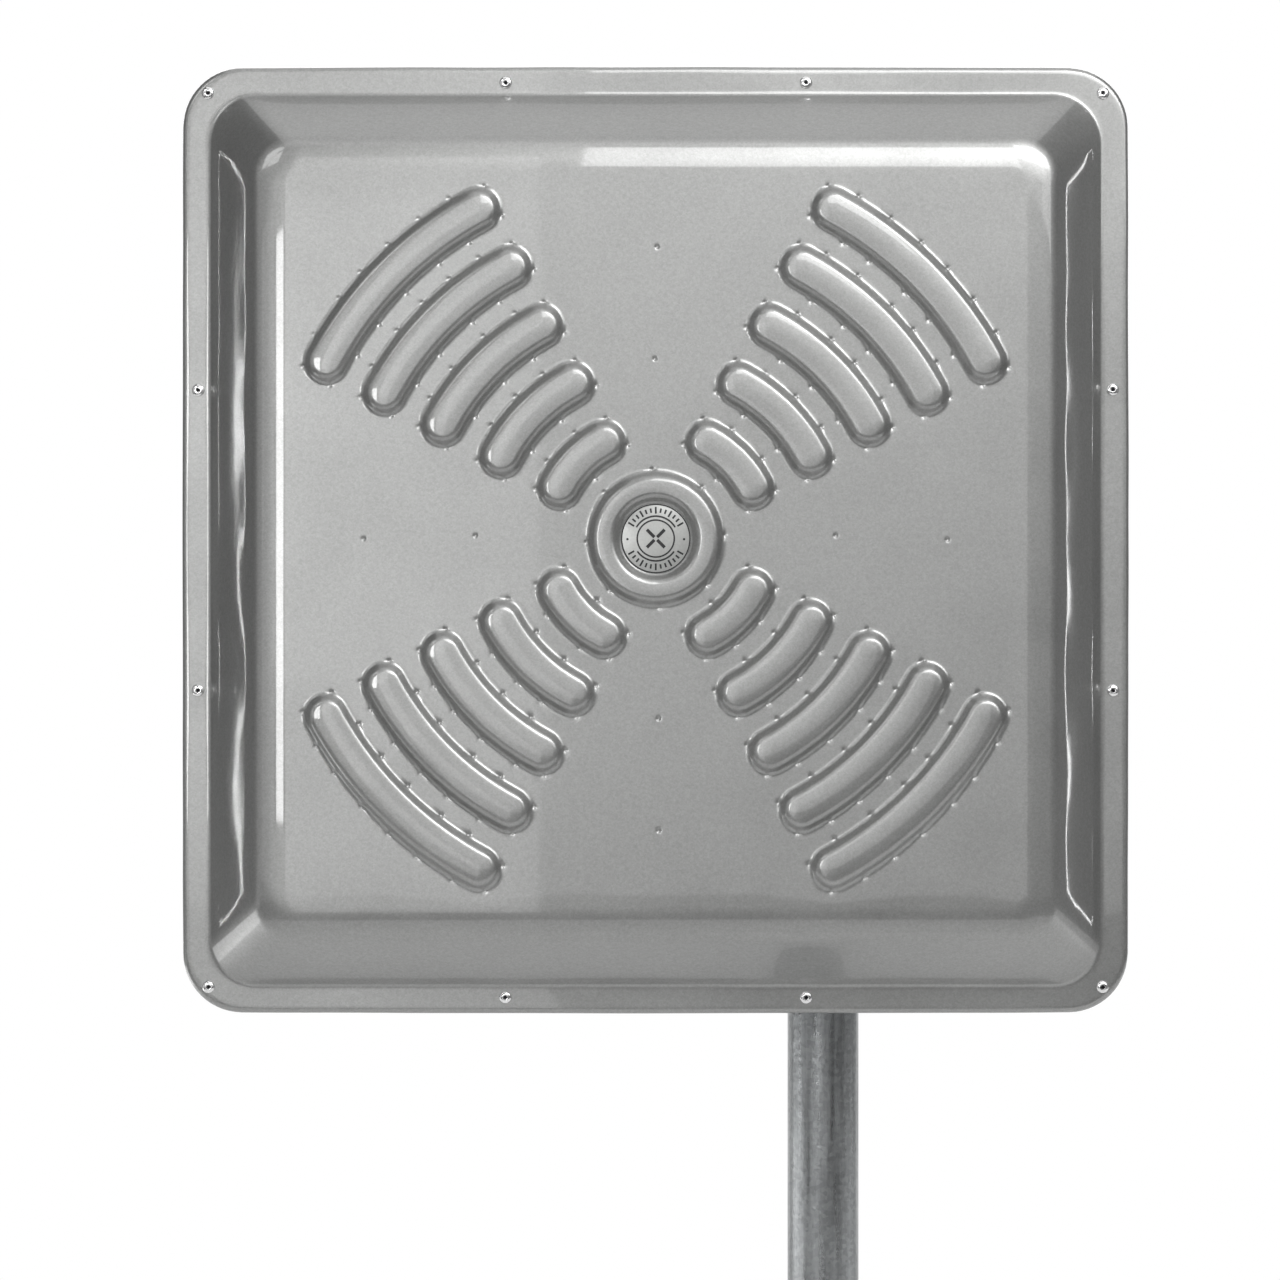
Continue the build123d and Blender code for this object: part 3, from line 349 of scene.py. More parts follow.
def make_streak_group():
    """Long runs of tone along one axis: drawn marks on tube and sheet."""
    group, given, results = new_group("Streak", Across=400.0, Along=12.0, Low=0.0, High=1.0)
    scale = group.nodes.new("ShaderNodeCombineXYZ")
    for label, axis in (("Across", "X"), ("Across", "Y"), ("Along", "Z")):
        group.links.new(given[label], scale.inputs[axis])
    stretch = group.nodes.new("ShaderNodeVectorMath")
    stretch.operation = "MULTIPLY"
    group.links.new(given["Vector"], stretch.inputs[0])
    group.links.new(scale.outputs["Vector"], stretch.inputs[1])
    tex = group.nodes.new("ShaderNodeTexNoise")
    tex.inputs["Scale"].default_value = 1.0
    tex.inputs["Detail"].default_value = 3.0
    group.links.new(stretch.outputs["Vector"], tex.inputs["Vector"])
    end_group(group, widened(group, tex.outputs["Fac"]), given, results)


GROUP_MAKERS = {"Cloud": make_cloud_group, "Fleck": make_fleck_group, "Streak": make_streak_group}


class Finish:
    """A material under construction: a Principled shader fed by the shared groups."""

    def __init__(self, name, metallic=0.0, roughness=0.5, coat=0.0, coat_roughness=0.03, coat_ior=1.5):
        self.material = bpy.data.materials.new(name)
        self.material.use_nodes = True
        self.nodes = self.material.node_tree.nodes
        self.links = self.material.node_tree.links
        self.shader = self.nodes["Principled BSDF"]
        self.shader.inputs["Metallic"].default_value = metallic
        self.shader.inputs["Roughness"].default_value = roughness
        self.shader.inputs["Coat Weight"].default_value = coat
        self.shader.inputs["Coat Roughness"].default_value = coat_roughness
        self.shader.inputs["Coat IOR"].default_value = coat_ior
        self.place = self.nodes.new("ShaderNodeTexCoord").outputs["Object"]

    def group(self, kind, **values):
        """The output of a shared group placed here with its own values."""
        if kind not in bpy.data.node_groups:
            GROUP_MAKERS[kind]()
        node = self.nodes.new("ShaderNodeGroup")
        node.node_tree = bpy.data.node_groups[kind]
        self.links.new(self.place, node.inputs["Vector"])
        for label, value in values.items():
            node.inputs[label].default_value = value
        return node.outputs["Value"]

    def join(self, operation, first, second):
        """Two values joined by arithmetic; either may be a number."""
        node = self.nodes.new("ShaderNodeMath")
        node.operation = operation
        for socket, value in zip(node.inputs, (first, second)):
            if isinstance(value, (int, float)):
                socket.default_value = value
            else:
                self.links.new(value, socket)
        return node.outputs["Value"]

    def colour(self, amount, dark, light):
        """Base Color between two colours by an amount that changes over the surface."""
        mix = self.nodes.new("ShaderNodeMix")
        mix.data_type = "RGBA"
        self.links.new(amount, mix.inputs["Factor"])
        mix.inputs["A"].default_value = (*dark, 1.0)
        mix.inputs["B"].default_value = (*light, 1.0)
        self.links.new(mix.outputs["Result"], self.shader.inputs["Base Color"])

    def roughen(self, value):
        """Roughness that changes over the surface."""
        self.links.new(value, self.shader.inputs["Roughness"])

    def bump(self, height, depth):
        """Surface relief from a 0 to 1 height over a depth in metres."""
        node = self.nodes.new("ShaderNodeBump")
        node.inputs["Strength"].default_value = 1.0
        node.inputs["Distance"].default_value = depth
        self.links.new(height, node.inputs["Height"])
        self.links.new(node.outputs["Normal"], self.shader.inputs["Normal"])


def tint(colour, factor):
    """A colour made lighter or darker."""
    return tuple(min(1.0, c * factor) for c in colour)


# ---- Finishes ----
def radome_finish(colours):
    """Metal-flake plastic under a clear gloss skin."""
    finish = Finish("flake_plastic", metallic=0.85, roughness=0.42, coat=1.0, coat_ior=1.62)
    flake = finish.group("Fleck", Scale=1500.0, Low=-0.16, High=0.16)
    grain = finish.group("Cloud", Scale=520.0, Detail=3.0, Low=-0.12, High=0.12)
    drift = finish.group("Cloud", Scale=9.0, Detail=2.0, Low=0.42, High=0.58)
    tone = finish.join("ADD", finish.join("ADD", flake, grain), drift)
    finish.colour(tone, tint(colours.radome, 0.78), tint(colours.radome, 1.22))
    finish.roughen(finish.group("Cloud", Scale=30.0, Detail=3.0, Low=0.40, High=0.47))
    ripple = finish.group("Cloud", Scale=26.0, Detail=1.0, Low=0.0, High=1.0)
    peel = finish.group("Cloud", Scale=420.0, Detail=2.0, Low=0.0, High=0.05)
    finish.bump(finish.join("ADD", ripple, peel), 0.16 * MM)
    return finish.material


def zinc_finish(colours):
    """Galvanised steel: spangle, drawn streaks and dull patches."""
    finish = Finish("galvanised_steel", metallic=0.9, roughness=0.38)
    spangle = finish.group("Fleck", Scale=520.0, Low=-0.24, High=0.24)
    streak = finish.group("Streak", Across=420.0, Along=10.0, Low=-0.18, High=0.18)
    patch = finish.group("Cloud", Scale=24.0, Detail=5.0, Low=0.28, High=0.72)
    tone = finish.join("ADD", finish.join("ADD", spangle, streak), patch)
    finish.colour(tone, tint(colours.zinc, 0.70), tint(colours.zinc, 1.25))
    finish.roughen(finish.group("Streak", Across=300.0, Along=16.0, Low=0.24, High=0.42))
    finish.bump(finish.group("Cloud", Scale=260.0, Detail=5.0, Low=0.0, High=1.0), 0.09 * MM)
    return finish.material


def plated_finish(colours):
    """Bright zinc plate on fasteners."""
    finish = Finish("zinc_plate", metallic=1.0, roughness=0.25)
    patch = finish.group("Cloud", Scale=160.0, Detail=4.0, Low=0.1, High=0.9)
    finish.colour(patch, tint(colours.plated, 0.80), tint(colours.plated, 1.12))
    finish.roughen(finish.group("Cloud", Scale=240.0, Detail=3.0, Low=0.18, High=0.36))
    finish.bump(finish.group("Cloud", Scale=900.0, Detail=2.0, Low=0.0, High=1.0), 0.02 * MM)
    return finish.material


def sheet_finish(colours):
    """Rolled aluminium sheet with fine drawn lines."""
    finish = Finish("rolled_alloy", metallic=1.0, roughness=0.35)
    lines = finish.group("Streak", Across=900.0, Along=14.0, Low=0.2, High=0.8)
    patch = finish.group("Cloud", Scale=14.0, Detail=4.0, Low=-0.2, High=0.2)
    finish.colour(finish.join("ADD", lines, patch), tint(colours.alloy, 0.82), tint(colours.alloy, 1.08))
    finish.roughen(finish.group("Streak", Across=700.0, Along=20.0, Low=0.28, High=0.44))
    finish.bump(lines, 0.015 * MM)
    return finish.material


def rivet_finish(colours):
    """Pressed aluminium, nearly polished."""
    finish = Finish("rivet_alloy", metallic=1.0, roughness=0.2)
    patch = finish.group("Cloud", Scale=700.0, Detail=3.0, Low=0.0, High=1.0)
    finish.colour(patch, tint(colours.alloy, 0.70), tint(colours.alloy, 0.95))
    finish.roughen(finish.group("Cloud", Scale=500.0, Detail=3.0, Low=0.14, High=0.32))
    return finish.material


def cast_finish(colours):
    """Tumbled die-casting."""
    finish = Finish("cast_alloy", metallic=0.9, roughness=0.5)
    grain = finish.group("Fleck", Scale=1400.0, Low=0.0, High=1.0)
    finish.colour(grain, tint(colours.alloy, 0.62), tint(colours.alloy, 0.84))
    finish.roughen(finish.group("Cloud", Scale=120.0, Detail=4.0, Low=0.42, High=0.6))
    finish.bump(finish.group("Cloud", Scale=800.0, Detail=3.0, Low=0.0, High=1.0), 0.06 * MM)
    return finish.material


def moulded_finish(name, colour, roughness):
    """Moulded plastic or rubber with a faint texture."""
    finish = Finish(name, roughness=roughness)
    patch = finish.group("Cloud", Scale=90.0, Detail=4.0, Low=0.0, High=1.0)
    finish.colour(patch, tint(colour, 0.8), tint(colour, 1.2))
    low, high = roughness * 0.85, min(1, roughness * 1.15)
    finish.roughen(finish.group("Cloud", Scale=200.0, Detail=2.0, Low=low, High=high))
    finish.bump(finish.group("Cloud", Scale=1500.0, Detail=2.0, Low=0.0, High=1.0), 0.03 * MM)
    return finish.material


def metal_finish(name, colour, roughness):
    """Plated contact metal or copper foil; also the near-black painted shade in the rivet holes."""
    finish = Finish(name, metallic=1.0, roughness=roughness)
    patch = finish.group("Cloud", Scale=120.0, Detail=4.0, Low=0.0, High=1.0)
    finish.colour(patch, tint(colour, 0.85), tint(colour, 1.1))
    low, high = roughness * 0.8, roughness * 1.3
    finish.roughen(finish.group("Cloud", Scale=300.0, Detail=3.0, Low=low, High=high))
    return finish.material


def label_finish(name, colour):
    """Printed film with a satin face."""
    finish = Finish(name, metallic=0.3, roughness=0.4, coat=0.3, coat_roughness=0.1)
    grain = finish.group("Cloud", Scale=800.0, Detail=2.0, Low=0.0, High=1.0)
    finish.colour(grain, tint(colour, 0.94), tint(colour, 1.05))
    finish.roughen(finish.group("Cloud", Scale=150.0, Detail=2.0, Low=0.3, High=0.42))
    return finish.material


def finishes():
    """Every finish by name, made once."""
    if "flake_plastic" not in bpy.data.materials:
        colours = bpy.context.scene.antenna_colours
        radome_finish(colours)
        zinc_finish(colours)
        plated_finish(colours)
        sheet_finish(colours)
        rivet_finish(colours)
        # near-black colour for the discs in the rivet holes: painted shade
        metal_finish("rivet_core", (0.02, 0.02, 0.022), 0.6)
        cast_finish(colours)
        moulded_finish("black_rubber", colours.black, 0.7)
        moulded_finish("black_plastic", colours.black, 0.45)
        moulded_finish("natural_nylon", (0.80, 0.78, 0.72), 0.45)
        moulded_finish("white_resin", (0.86, 0.86, 0.84), 0.35)
        moulded_finish("green_laminate", (0.06, 0.20, 0.10), 0.4)
        metal_finish("copper_foil", (0.80, 0.45, 0.30), 0.3)
        metal_finish("nickel_plate", (0.70, 0.68, 0.63), 0.18)
        metal_finish("gilt_contact", (0.86, 0.66, 0.28), 0.2)
        label_finish("badge_film", (0.38, 0.385, 0.375))
        label_finish("rating_film", (0.78, 0.79, 0.80))
        moulded_finish("badge_ink", colours.ink, 0.4)
    return bpy.data.materials


# ---- Mesh helpers ----
def add_piece(name, bm, finish, body, node=None, sharp=35.0):
    """Turn a finished bmesh into a named piece that rides on a body."""
    mesh = bpy.data.meshes.new(name)
    bm.to_mesh(mesh)
    bm.free()
    mesh.shade_smooth()
    mesh.set_sharp_from_angle(angle=radians(sharp))
    mesh.materials.append(finishes()[finish])
    piece = bpy.data.objects.new(name, mesh)
    bpy.context.scene.collection.objects.link(piece)
    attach(piece, body)
    if node:
        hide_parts(node)


def chain(bm, points, closed=False):
    """Vertices joined in a row by edges."""
    verts = [bm.verts.new(p) for p in points]
    edges = [bm.edges.new(pair) for pair in zip(verts, verts[1:])]
    if closed:
        edges.append(bm.edges.new((verts[-1], verts[0])))
    return verts + edges


def spin_through(bm, strip, centre, stations):
    """Spin a strip about +Z through a list of angles, one step from each to the next."""
    for before, after in zip(stations, stations[1:]):
        done = bmesh.ops.spin(
            bm, geom=strip, cent=centre, axis=(0, 0, 1), angle=after - before, steps=1, use_duplicate=False
        )
        strip = done["geom_last"]
    return strip


def lathe(bm, outline, steps):
    """Full turn of an outline of (radius, height) points about +Z."""
    points = [(r, 0, h) for r, h in outline]
    bmesh.ops.spin(
        bm, geom=chain(bm, points), cent=(0, 0, 0), axis=(0, 0, 1), angle=2 * pi, steps=steps, use_merge=True,
        use_duplicate=False,
    )
    bmesh.ops.remove_doubles(bm, verts=bm.verts, dist=SEAM)


def arc(centre, radius, start, stop, steps):
    """Points on an arc in a profile, ends included."""
    angles = [start + (stop - start) * k / steps for k in range(steps + 1)]
    return [(centre[0] + radius * cos(a), centre[1] + radius * sin(a)) for a in angles]


def join_copy(bm, other, matrix):
    """Add a copy of another bmesh, placed by a matrix."""
    mesh = bpy.data.meshes.new("copy")
    other.to_mesh(mesh)
    mesh.transform(matrix)
    bm.from_mesh(mesh)
    bpy.data.meshes.remove(mesh)


def join_part(bm, part, matrix=Matrix.Identity(4)):
    """Add another bmesh, placed by a matrix, and free it."""
    join_copy(bm, part, matrix)
    part.free()


def turned(outline, steps):
    """A closed body turned from an outline of (radius, height) points about +Z."""
    bm = bmesh.new()
    lathe(bm, outline, steps)
    bmesh.ops.recalc_face_normals(bm, faces=bm.faces)
    return bm


def panel_matrix(level_y):
    """From a profile frame (+Z to the viewer, +Y up) to the panel, at a level along Y."""
    return Matrix.Translation((PANEL_X, level_y, PANEL_Z)) @ Matrix.Rotation(radians(90), 4, "X")


# ---- Radome ----
def relief_outline(sizes, width):
    """Half section of a raised shape, from outside its foot to its crest, and the crest's half width.

    Each point is (distance from the shape's middle line, height); width is at the face.
    """
    slope = sizes.rib_slope
    height = sizes.rib_height
    foot = 3.2 * MM
    edge = 4.0 * MM
    crown = 0.35 * MM
    steps = 5
    level_lean = 0.08
    crest = width / 2 - (height - crown) / tan(slope)
    foot_run = foot * tan(slope / 2)
    edge_run = edge * tan(slope / 2)
    margin = width / 2 + foot_run
    outline = [(margin + 2.4 * MM, 0.0), (margin + 1.0 * MM, 0.0)]
    outline += arc((margin, foot), foot, -pi / 2, -pi / 2 - slope, steps)
    flat = crest - edge_run
    outline += arc((flat, height - crown - edge), edge, pi / 2 - slope, pi / 2 - level_lean, steps)
    return outline, flat


def rib_outline(sizes):
    """Half section of a rib, with a slightly crowned top that ends on its middle line."""
    outline, flat = relief_outline(sizes, sizes.rib_width)
    top = outline[-1][1]
    rise = sizes.rib_height - top
    for share in (0.66, 0.33, 0.0):
        outline.append((flat * share, top + rise * (1 - share * share)))
    return outline


def dent_stations(start, stop, dents, radius, step, dent_radius):
    """Angles between start and stop, evenly spaced and close together at each dent."""
    count = max(2, round(abs(stop - start) * radius / step))
    angles = [start + (stop - start) * k / count for k in range(count + 1)]
    low, high = min(start, stop), max(start, stop)
    close = [d + s * dent_radius / radius for d in dents for s in (-1.0, -0.5, 0.0, 0.5, 1.0)]
    close = [a for a in close if low < a < high]
    gap = 0.42 * dent_radius / radius
    kept = [a for a in angles[1:-1] if all(abs(a - c) > 1.6 * gap for c in close)]
    merged = []
    for a in sorted(close + kept):
        if not merged or a - merged[-1] > gap:
            if a - low > gap and high - a > gap:
                merged.append(a)
    merged = [low] + merged + [high]
    return merged if stop > start else merged[::-1]


def press_dents(bm, dents, radius, depth):
    """Push small round dips into the mesh at (x, y) places."""
    for vert in bm.verts:
        for x, y in dents:
            away = hypot(vert.co.x - x, vert.co.y - y)
            if away < radius:
                vert.co.z -= depth * (1 - (away / radius) ** 2) ** 2


def rib_mesh(sizes, middle, rng):
    """One rib lying along an arc about the panel's centre, middle at angle zero."""
    bm = bmesh.new()
    outline = rib_outline(sizes)
    spread = sizes.rib_spread
    foot = sizes.rib_width / 2 + 0.8 * MM
    reach = sizes.dent_radius
    inner_dents, outer_dents = [], []
    for side, dents in ((-1, inner_dents), (1, outer_dents)):
        length = 2 * spread * (middle + side * foot)
        count = max(1, round(length / sizes.dent_spacing))
        for k in range(count):
            place = (k + 0.5 + rng.uniform(-0.12, 0.12)) / count
            dents.append(-spread + 2 * spread * place)
    section = [(middle - d, h) for d, h in outline] + [(middle + d, h) for d, h in reversed(outline[:-1])]
    points = [(r * cos(-spread), r * sin(-spread), h) for r, h in section]
    stations = dent_stations(-spread, spread, inner_dents + outer_dents, middle, 4.5 * MM, reach)
    spin_through(bm, chain(bm, points), (0, 0, 0), stations)
    marks = []
    for radius, dents in ((middle - foot, inner_dents), (middle + foot, outer_dents)):
        marks += [(radius * cos(a), radius * sin(a)) for a in dents]
    for side in (-1, 1):
        end = (middle * cos(side * spread), middle * sin(side * spread), 0.0)
        direction = side * spread
        cap_dents = [radians(38) + rng.uniform(-0.1, 0.1), radians(128) + rng.uniform(-0.15, 0.15)]
        stations = dent_stations(0.0, pi, cap_dents, foot, 2.2 * MM, reach)
        points = [(end[0] + d * cos(direction), end[1] + d * sin(direction), h) for d, h in outline]
        spin_through(bm, chain(bm, points), end, [side * a for a in stations])
        for a in cap_dents:
            lean = direction + side * a
            marks.append((end[0] + foot * cos(lean), end[1] + foot * sin(lean)))
    bmesh.ops.remove_doubles(bm, verts=bm.verts, dist=PATCH_SEAM)
    press_dents(bm, marks, reach, sizes.dent_depth)
    return bm


def ring_mesh(sizes):
    """The raised ring with its recess, and eight dents round its foot."""
    bm = bmesh.new()
    outer = relief_outline(sizes, 2 * sizes.ring_radius)[0]
    width = 2 * (sizes.ring_radius - sizes.recess_radius)
    inner = relief_outline(sizes, width)[0]
    middle = sizes.recess_radius + width / 2
    inner_side = [(middle - d, h) for d, h in inner[3:]]
    foot = sizes.ring_radius + 0.6 * MM
    dents = [k * pi / 4 + 0.05 for k in range(8)]
    middle_hole = 6.0 * MM
    section = [(middle_hole, 0.0), (sizes.recess_radius - 0.4 * MM, 0.0)] + inner_side
    section += [(r, h) for r, h in reversed(outer)]
    points = [(r, 0.0, h) for r, h in section]
    stations = dent_stations(0.0, 2 * pi, dents, foot, 2.6 * MM, sizes.dent_radius)
    spin_through(bm, chain(bm, points), (0, 0, 0), stations)
    bmesh.ops.remove_doubles(bm, verts=bm.verts, dist=PATCH_SEAM)
    press_dents(bm, [(foot * cos(a), foot * sin(a)) for a in dents], sizes.dent_radius, sizes.dent_depth)
    inside = [e for e in bm.edges if e.is_boundary and e.verts[0].co.xy.length < middle_hole + MM]
    bmesh.ops.edgeloop_fill(bm, edges=inside)
    return bm


def single_dent_mesh(sizes):
    """A small round patch of the face with one dent in it."""
    bm = bmesh.new()
    radius = sizes.dent_radius
    section = [(0.0, -sizes.dent_depth)]
    for share in (0.3, 0.55, 0.8, 1.0):
        section.append((radius * share, -sizes.dent_depth * (1 - share * share) ** 2))
    section.append((radius * 1.6, 0.0))
    lathe(bm, section, 14)
    return bm


def corner_radius(sizes, half):
    """Corner radius of the cover's outer surface where it is this far from its centre."""
    face, foot = sizes.face_size / 2, sizes.foot_size / 2
    if half < face:
        return sizes.face_corner - (face - half)
    if half < foot:
        return sizes.face_corner + (sizes.foot_corner - sizes.face_corner) * (half - face) / (foot - face)
    rest = (half - foot) / (PANEL_HALF - foot)
    return sizes.foot_corner + (sizes.flange_corner - sizes.foot_corner) * rest


def square_loop(bm, half, corner, height, shift=None):
    """A closed loop round a rounded square; shift may move each point outwards and upwards."""
    straight, turn = 44, 14
    points = []
    for quarter in range(4):
        base = quarter * pi / 2
        flat = half - corner
        for k in range(straight):
            points.append((half, -flat + 2 * flat * k / straight, base, 0.0))
        for k in range(turn):
            a = pi / 2 * k / turn
            points.append((flat + corner * cos(a), flat + corner * sin(a), base, a))
    placed = []
    for x, y, base, lean in points:
        out, up = shift(y, base) if shift else (0.0, 0.0)
        x += out * cos(lean)
        y += out * sin(lean)
        placed.append((x * cos(base) - y * sin(base), x * sin(base) + y * cos(base), height + up))
    return [e for e in chain(bm, placed, closed=True) if isinstance(e, bmesh.types.BMEdge)]


def wobble(x, y, scale, seed):
    """Smooth uneven value between about -1 and 1 at a place."""
    return noise.noise(Vector((x * scale, y * scale, seed)))


def cover_levels(sizes):
    """Outer and inner levels of dome, wall, flange and lip, from the face outwards and back inside.

    Each level is (half size, corner radius, height, how much the edge wanders).
    """
    face, foot = sizes.face_size / 2, sizes.foot_size / 2
    height = sizes.dome_height
    draft = (foot - face) / height
    slope = pi / 2 - atan(draft)
    small, roll = sizes.foot_radius, sizes.roll_radius
    wide, tight, change = sizes.shoulder_radius, sizes.edge_radius, sizes.shoulder_angle
    run = wide * sin(change) + tight * (sin(slope) - sin(change))
    drop = wide * (1 - cos(change)) + tight * (cos(change) - cos(slope))
    start = face + drop / tan(slope) - run
    inward = wide - tight
    bend = (start + inward * sin(change), height - wide + inward * cos(change))
    turn = arc((start, height - wide), wide, pi / 2, pi / 2 - change, 10)
    turn += arc(bend, tight, pi / 2 - change, pi / 2 - slope, 9)[1:]
    levels = []
    for half, level in turn:
        levels.append((half, corner_radius(sizes, half), level, 0.25))
    run = small * tan(slope / 2)
    top = levels[-1]
    low = (foot - run * cos(slope), run * sin(slope))
    for share in (0.2, 0.4, 0.6, 0.8):
        half = top[0] + (low[0] - top[0]) * share
        levels.append((half, corner_radius(sizes, half), top[2] + (low[1] - top[2]) * share, 1.0))
    for half, level in arc((foot + run, small), small, -pi / 2 - slope, -pi / 2, 5):
        levels.append((half, corner_radius(sizes, half), level, 0.5))
    rim = PANEL_HALF - roll
    for share in (0.15, 0.5, 0.85):
        half = foot + run + (rim - foot - run) * share
        levels.append((half, corner_radius(sizes, half), 0.0, 0.6))
    for half, level in arc((rim, -roll), roll, pi / 2, 0.0, 7):
        levels.append((half, corner_radius(sizes, half), level, 1.0))
    deep, wall = sizes.lip_depth, sizes.wall
    lip = [
        (0.0, 0.5 * MM - deep), (0.15 * MM, 0.15 * MM - deep), (0.5 * MM, -deep), (wall - 0.3 * MM, -deep),
        (wall, 0.3 * MM - deep), (wall, -wall - 0.6 * MM),
    ]
    for inset, level in lip:
        levels.append((PANEL_HALF - inset, sizes.flange_corner - inset, level, 1.0))
    inset = wall + 0.6 * MM
    levels.append((PANEL_HALF - inset, sizes.flange_corner - inset, -wall, 0.8))
    thick = wall * sqrt(1 + draft * draft)
    inner_foot = foot + draft * wall - thick
    inner_face = foot - draft * (height - wall) - thick
    levels.append((inner_foot, sizes.foot_corner - thick, -wall, 0.5))
    levels.append((inner_face, sizes.face_corner - thick + 1.0 * MM, height - wall, 0.1))
    return levels


# how far the cover strays from true
FLANGE_BOW = 0.55 * MM
FLANGE_LIFT = 0.30 * MM
FLANGE_RIPPLE = 0.08 * MM
EDGE_WANDER = 0.22 * MM
WALL_WANDER = 0.20 * MM
# distance of the lone dents from the panel's centre, the same in four directions
LONE_DENTS = (84.5 * MM, 137.0 * MM)


def cover_shift(sizes, half, level, wander):
    """How a level of the cover strays from true: bowed edges, lift between rivets, uneven walls."""
    foot = sizes.foot_size / 2
    flange = min(1.0, max(0.0, (half - foot) / (PANEL_HALF - foot)))
    pitch = 2 * bpy.context.scene.antenna_fittings.rivet_offset
    on_wall = 1.0 if half < foot and level > 1.5 * MM else 0.0

    def shift(y, base):
        reach = y / PANEL_HALF
        bow = FLANGE_BOW * max(0.0, 1 - reach * reach) * flange
        side = 7.0 * base
        edge = EDGE_WANDER * flange * wobble(y, side, 22.0, 1.7)
        wall = WALL_WANDER * on_wall * wander * wobble(y, side + level * 0.6, 24.0, 5.1)
        lift = FLANGE_LIFT * flange * (1 + cos(2 * pi * y / pitch)) / 2
        lift += FLANGE_RIPPLE * flange * wobble(y, side, 35.0, 9.3)
        return bow + edge + wall, lift

    return shift


def radome_mesh(sizes):
    """The whole cover as one closed skin."""
    rng = random.Random(11)
    bm = bmesh.new()
    for index in range(sizes.rib_count):
        middle = sizes.rib_first + index * sizes.rib_pitch
        for fan in range(4):
            join_part(bm, rib_mesh(sizes, middle, rng), Matrix.Rotation(pi / 4 + fan * pi / 2, 4, "Z"))
    join_part(bm, ring_mesh(sizes))
    dent = single_dent_mesh(sizes)
    for turn in range(4):
        for away in LONE_DENTS:
            aside = Matrix.Translation((away, rng.uniform(-2, 2) * MM, 0))
            join_copy(bm, dent, Matrix.Rotation(turn * pi / 2, 4, "Z") @ aside)
    dent.free()
    bmesh.ops.translate(bm, vec=(0, 0, sizes.dome_height), verts=bm.verts)
    outlines = [e for e in bm.edges if e.is_boundary]
    loops = []
    for half, corner, level, wander in cover_levels(sizes):
        shift = cover_shift(sizes, half, level, wander) if loops else None
        loops.append(square_loop(bm, half, corner, level, shift))
    bmesh.ops.triangle_fill(bm, edges=outlines + loops[0], use_beauty=True, normal=(0, 0, 1))
    for outer, inner in zip(loops, loops[1:]):
        bmesh.ops.bridge_loops(bm, edges=outer + inner)
    bmesh.ops.edgeloop_fill(bm, edges=loops[-1])
    bmesh.ops.recalc_face_normals(bm, faces=bm.faces)
    bm.transform(panel_matrix(FACE_Y + sizes.dome_height))
    return bm


class ANTENNA_OT_radome(bpy.types.Operator):
    """Model the vacuum-formed cover with its ribs, ring, dents, flange and lip"""

    bl_idname = "antenna.radome"
    bl_label = "Radome"

    def execute(self, context):
        bm = radome_mesh(context.scene.antenna_radome)
        add_piece("radome_skin", bm, "flake_plastic", "panel", "radome", sharp=50.0)
        return {"FINISHED"}


# ---- Badge and rivets ----
def flat_arc(bm, radius, width, start, stop, level, thick, steps):
    """A thin printed line along an arc, with square ends."""
    inner, outer = radius - width / 2, radius + width / 2
    outline = [(inner, level), (inner, level + thick), (outer, level + thick), (outer, level)]
    points = [(r * cos(start), r * sin(start), h) for r, h in outline]
    strip = chain(bm, points)
    full = abs(stop - start) > 2 * pi - 1e-6
    stations = [start + (stop - start) * k / steps for k in range(steps + 1)]
    last = spin_through(bm, strip, (0, 0, 0), stations)
    if full:
        bmesh.ops.remove_doubles(bm, verts=bm.verts, dist=SEAM)
        return
    bmesh.ops.contextual_create(bm, geom=[v for v in strip if isinstance(v, bmesh.types.BMVert)])
    bmesh.ops.contextual_create(bm, geom=[v for v in last if isinstance(v, bmesh.types.BMVert)])


def flat_bar(bm, x, y, length, width, turn, level, thick):
    """A thin printed bar."""
    place = Matrix.Translation((x, y, level + thick / 2)) @ Matrix.Rotation(turn, 4, "Z")
    place = place @ Matrix.Diagonal((length, width, thick, 1.0))
    bmesh.ops.create_cube(bm, size=1.0, matrix=place)


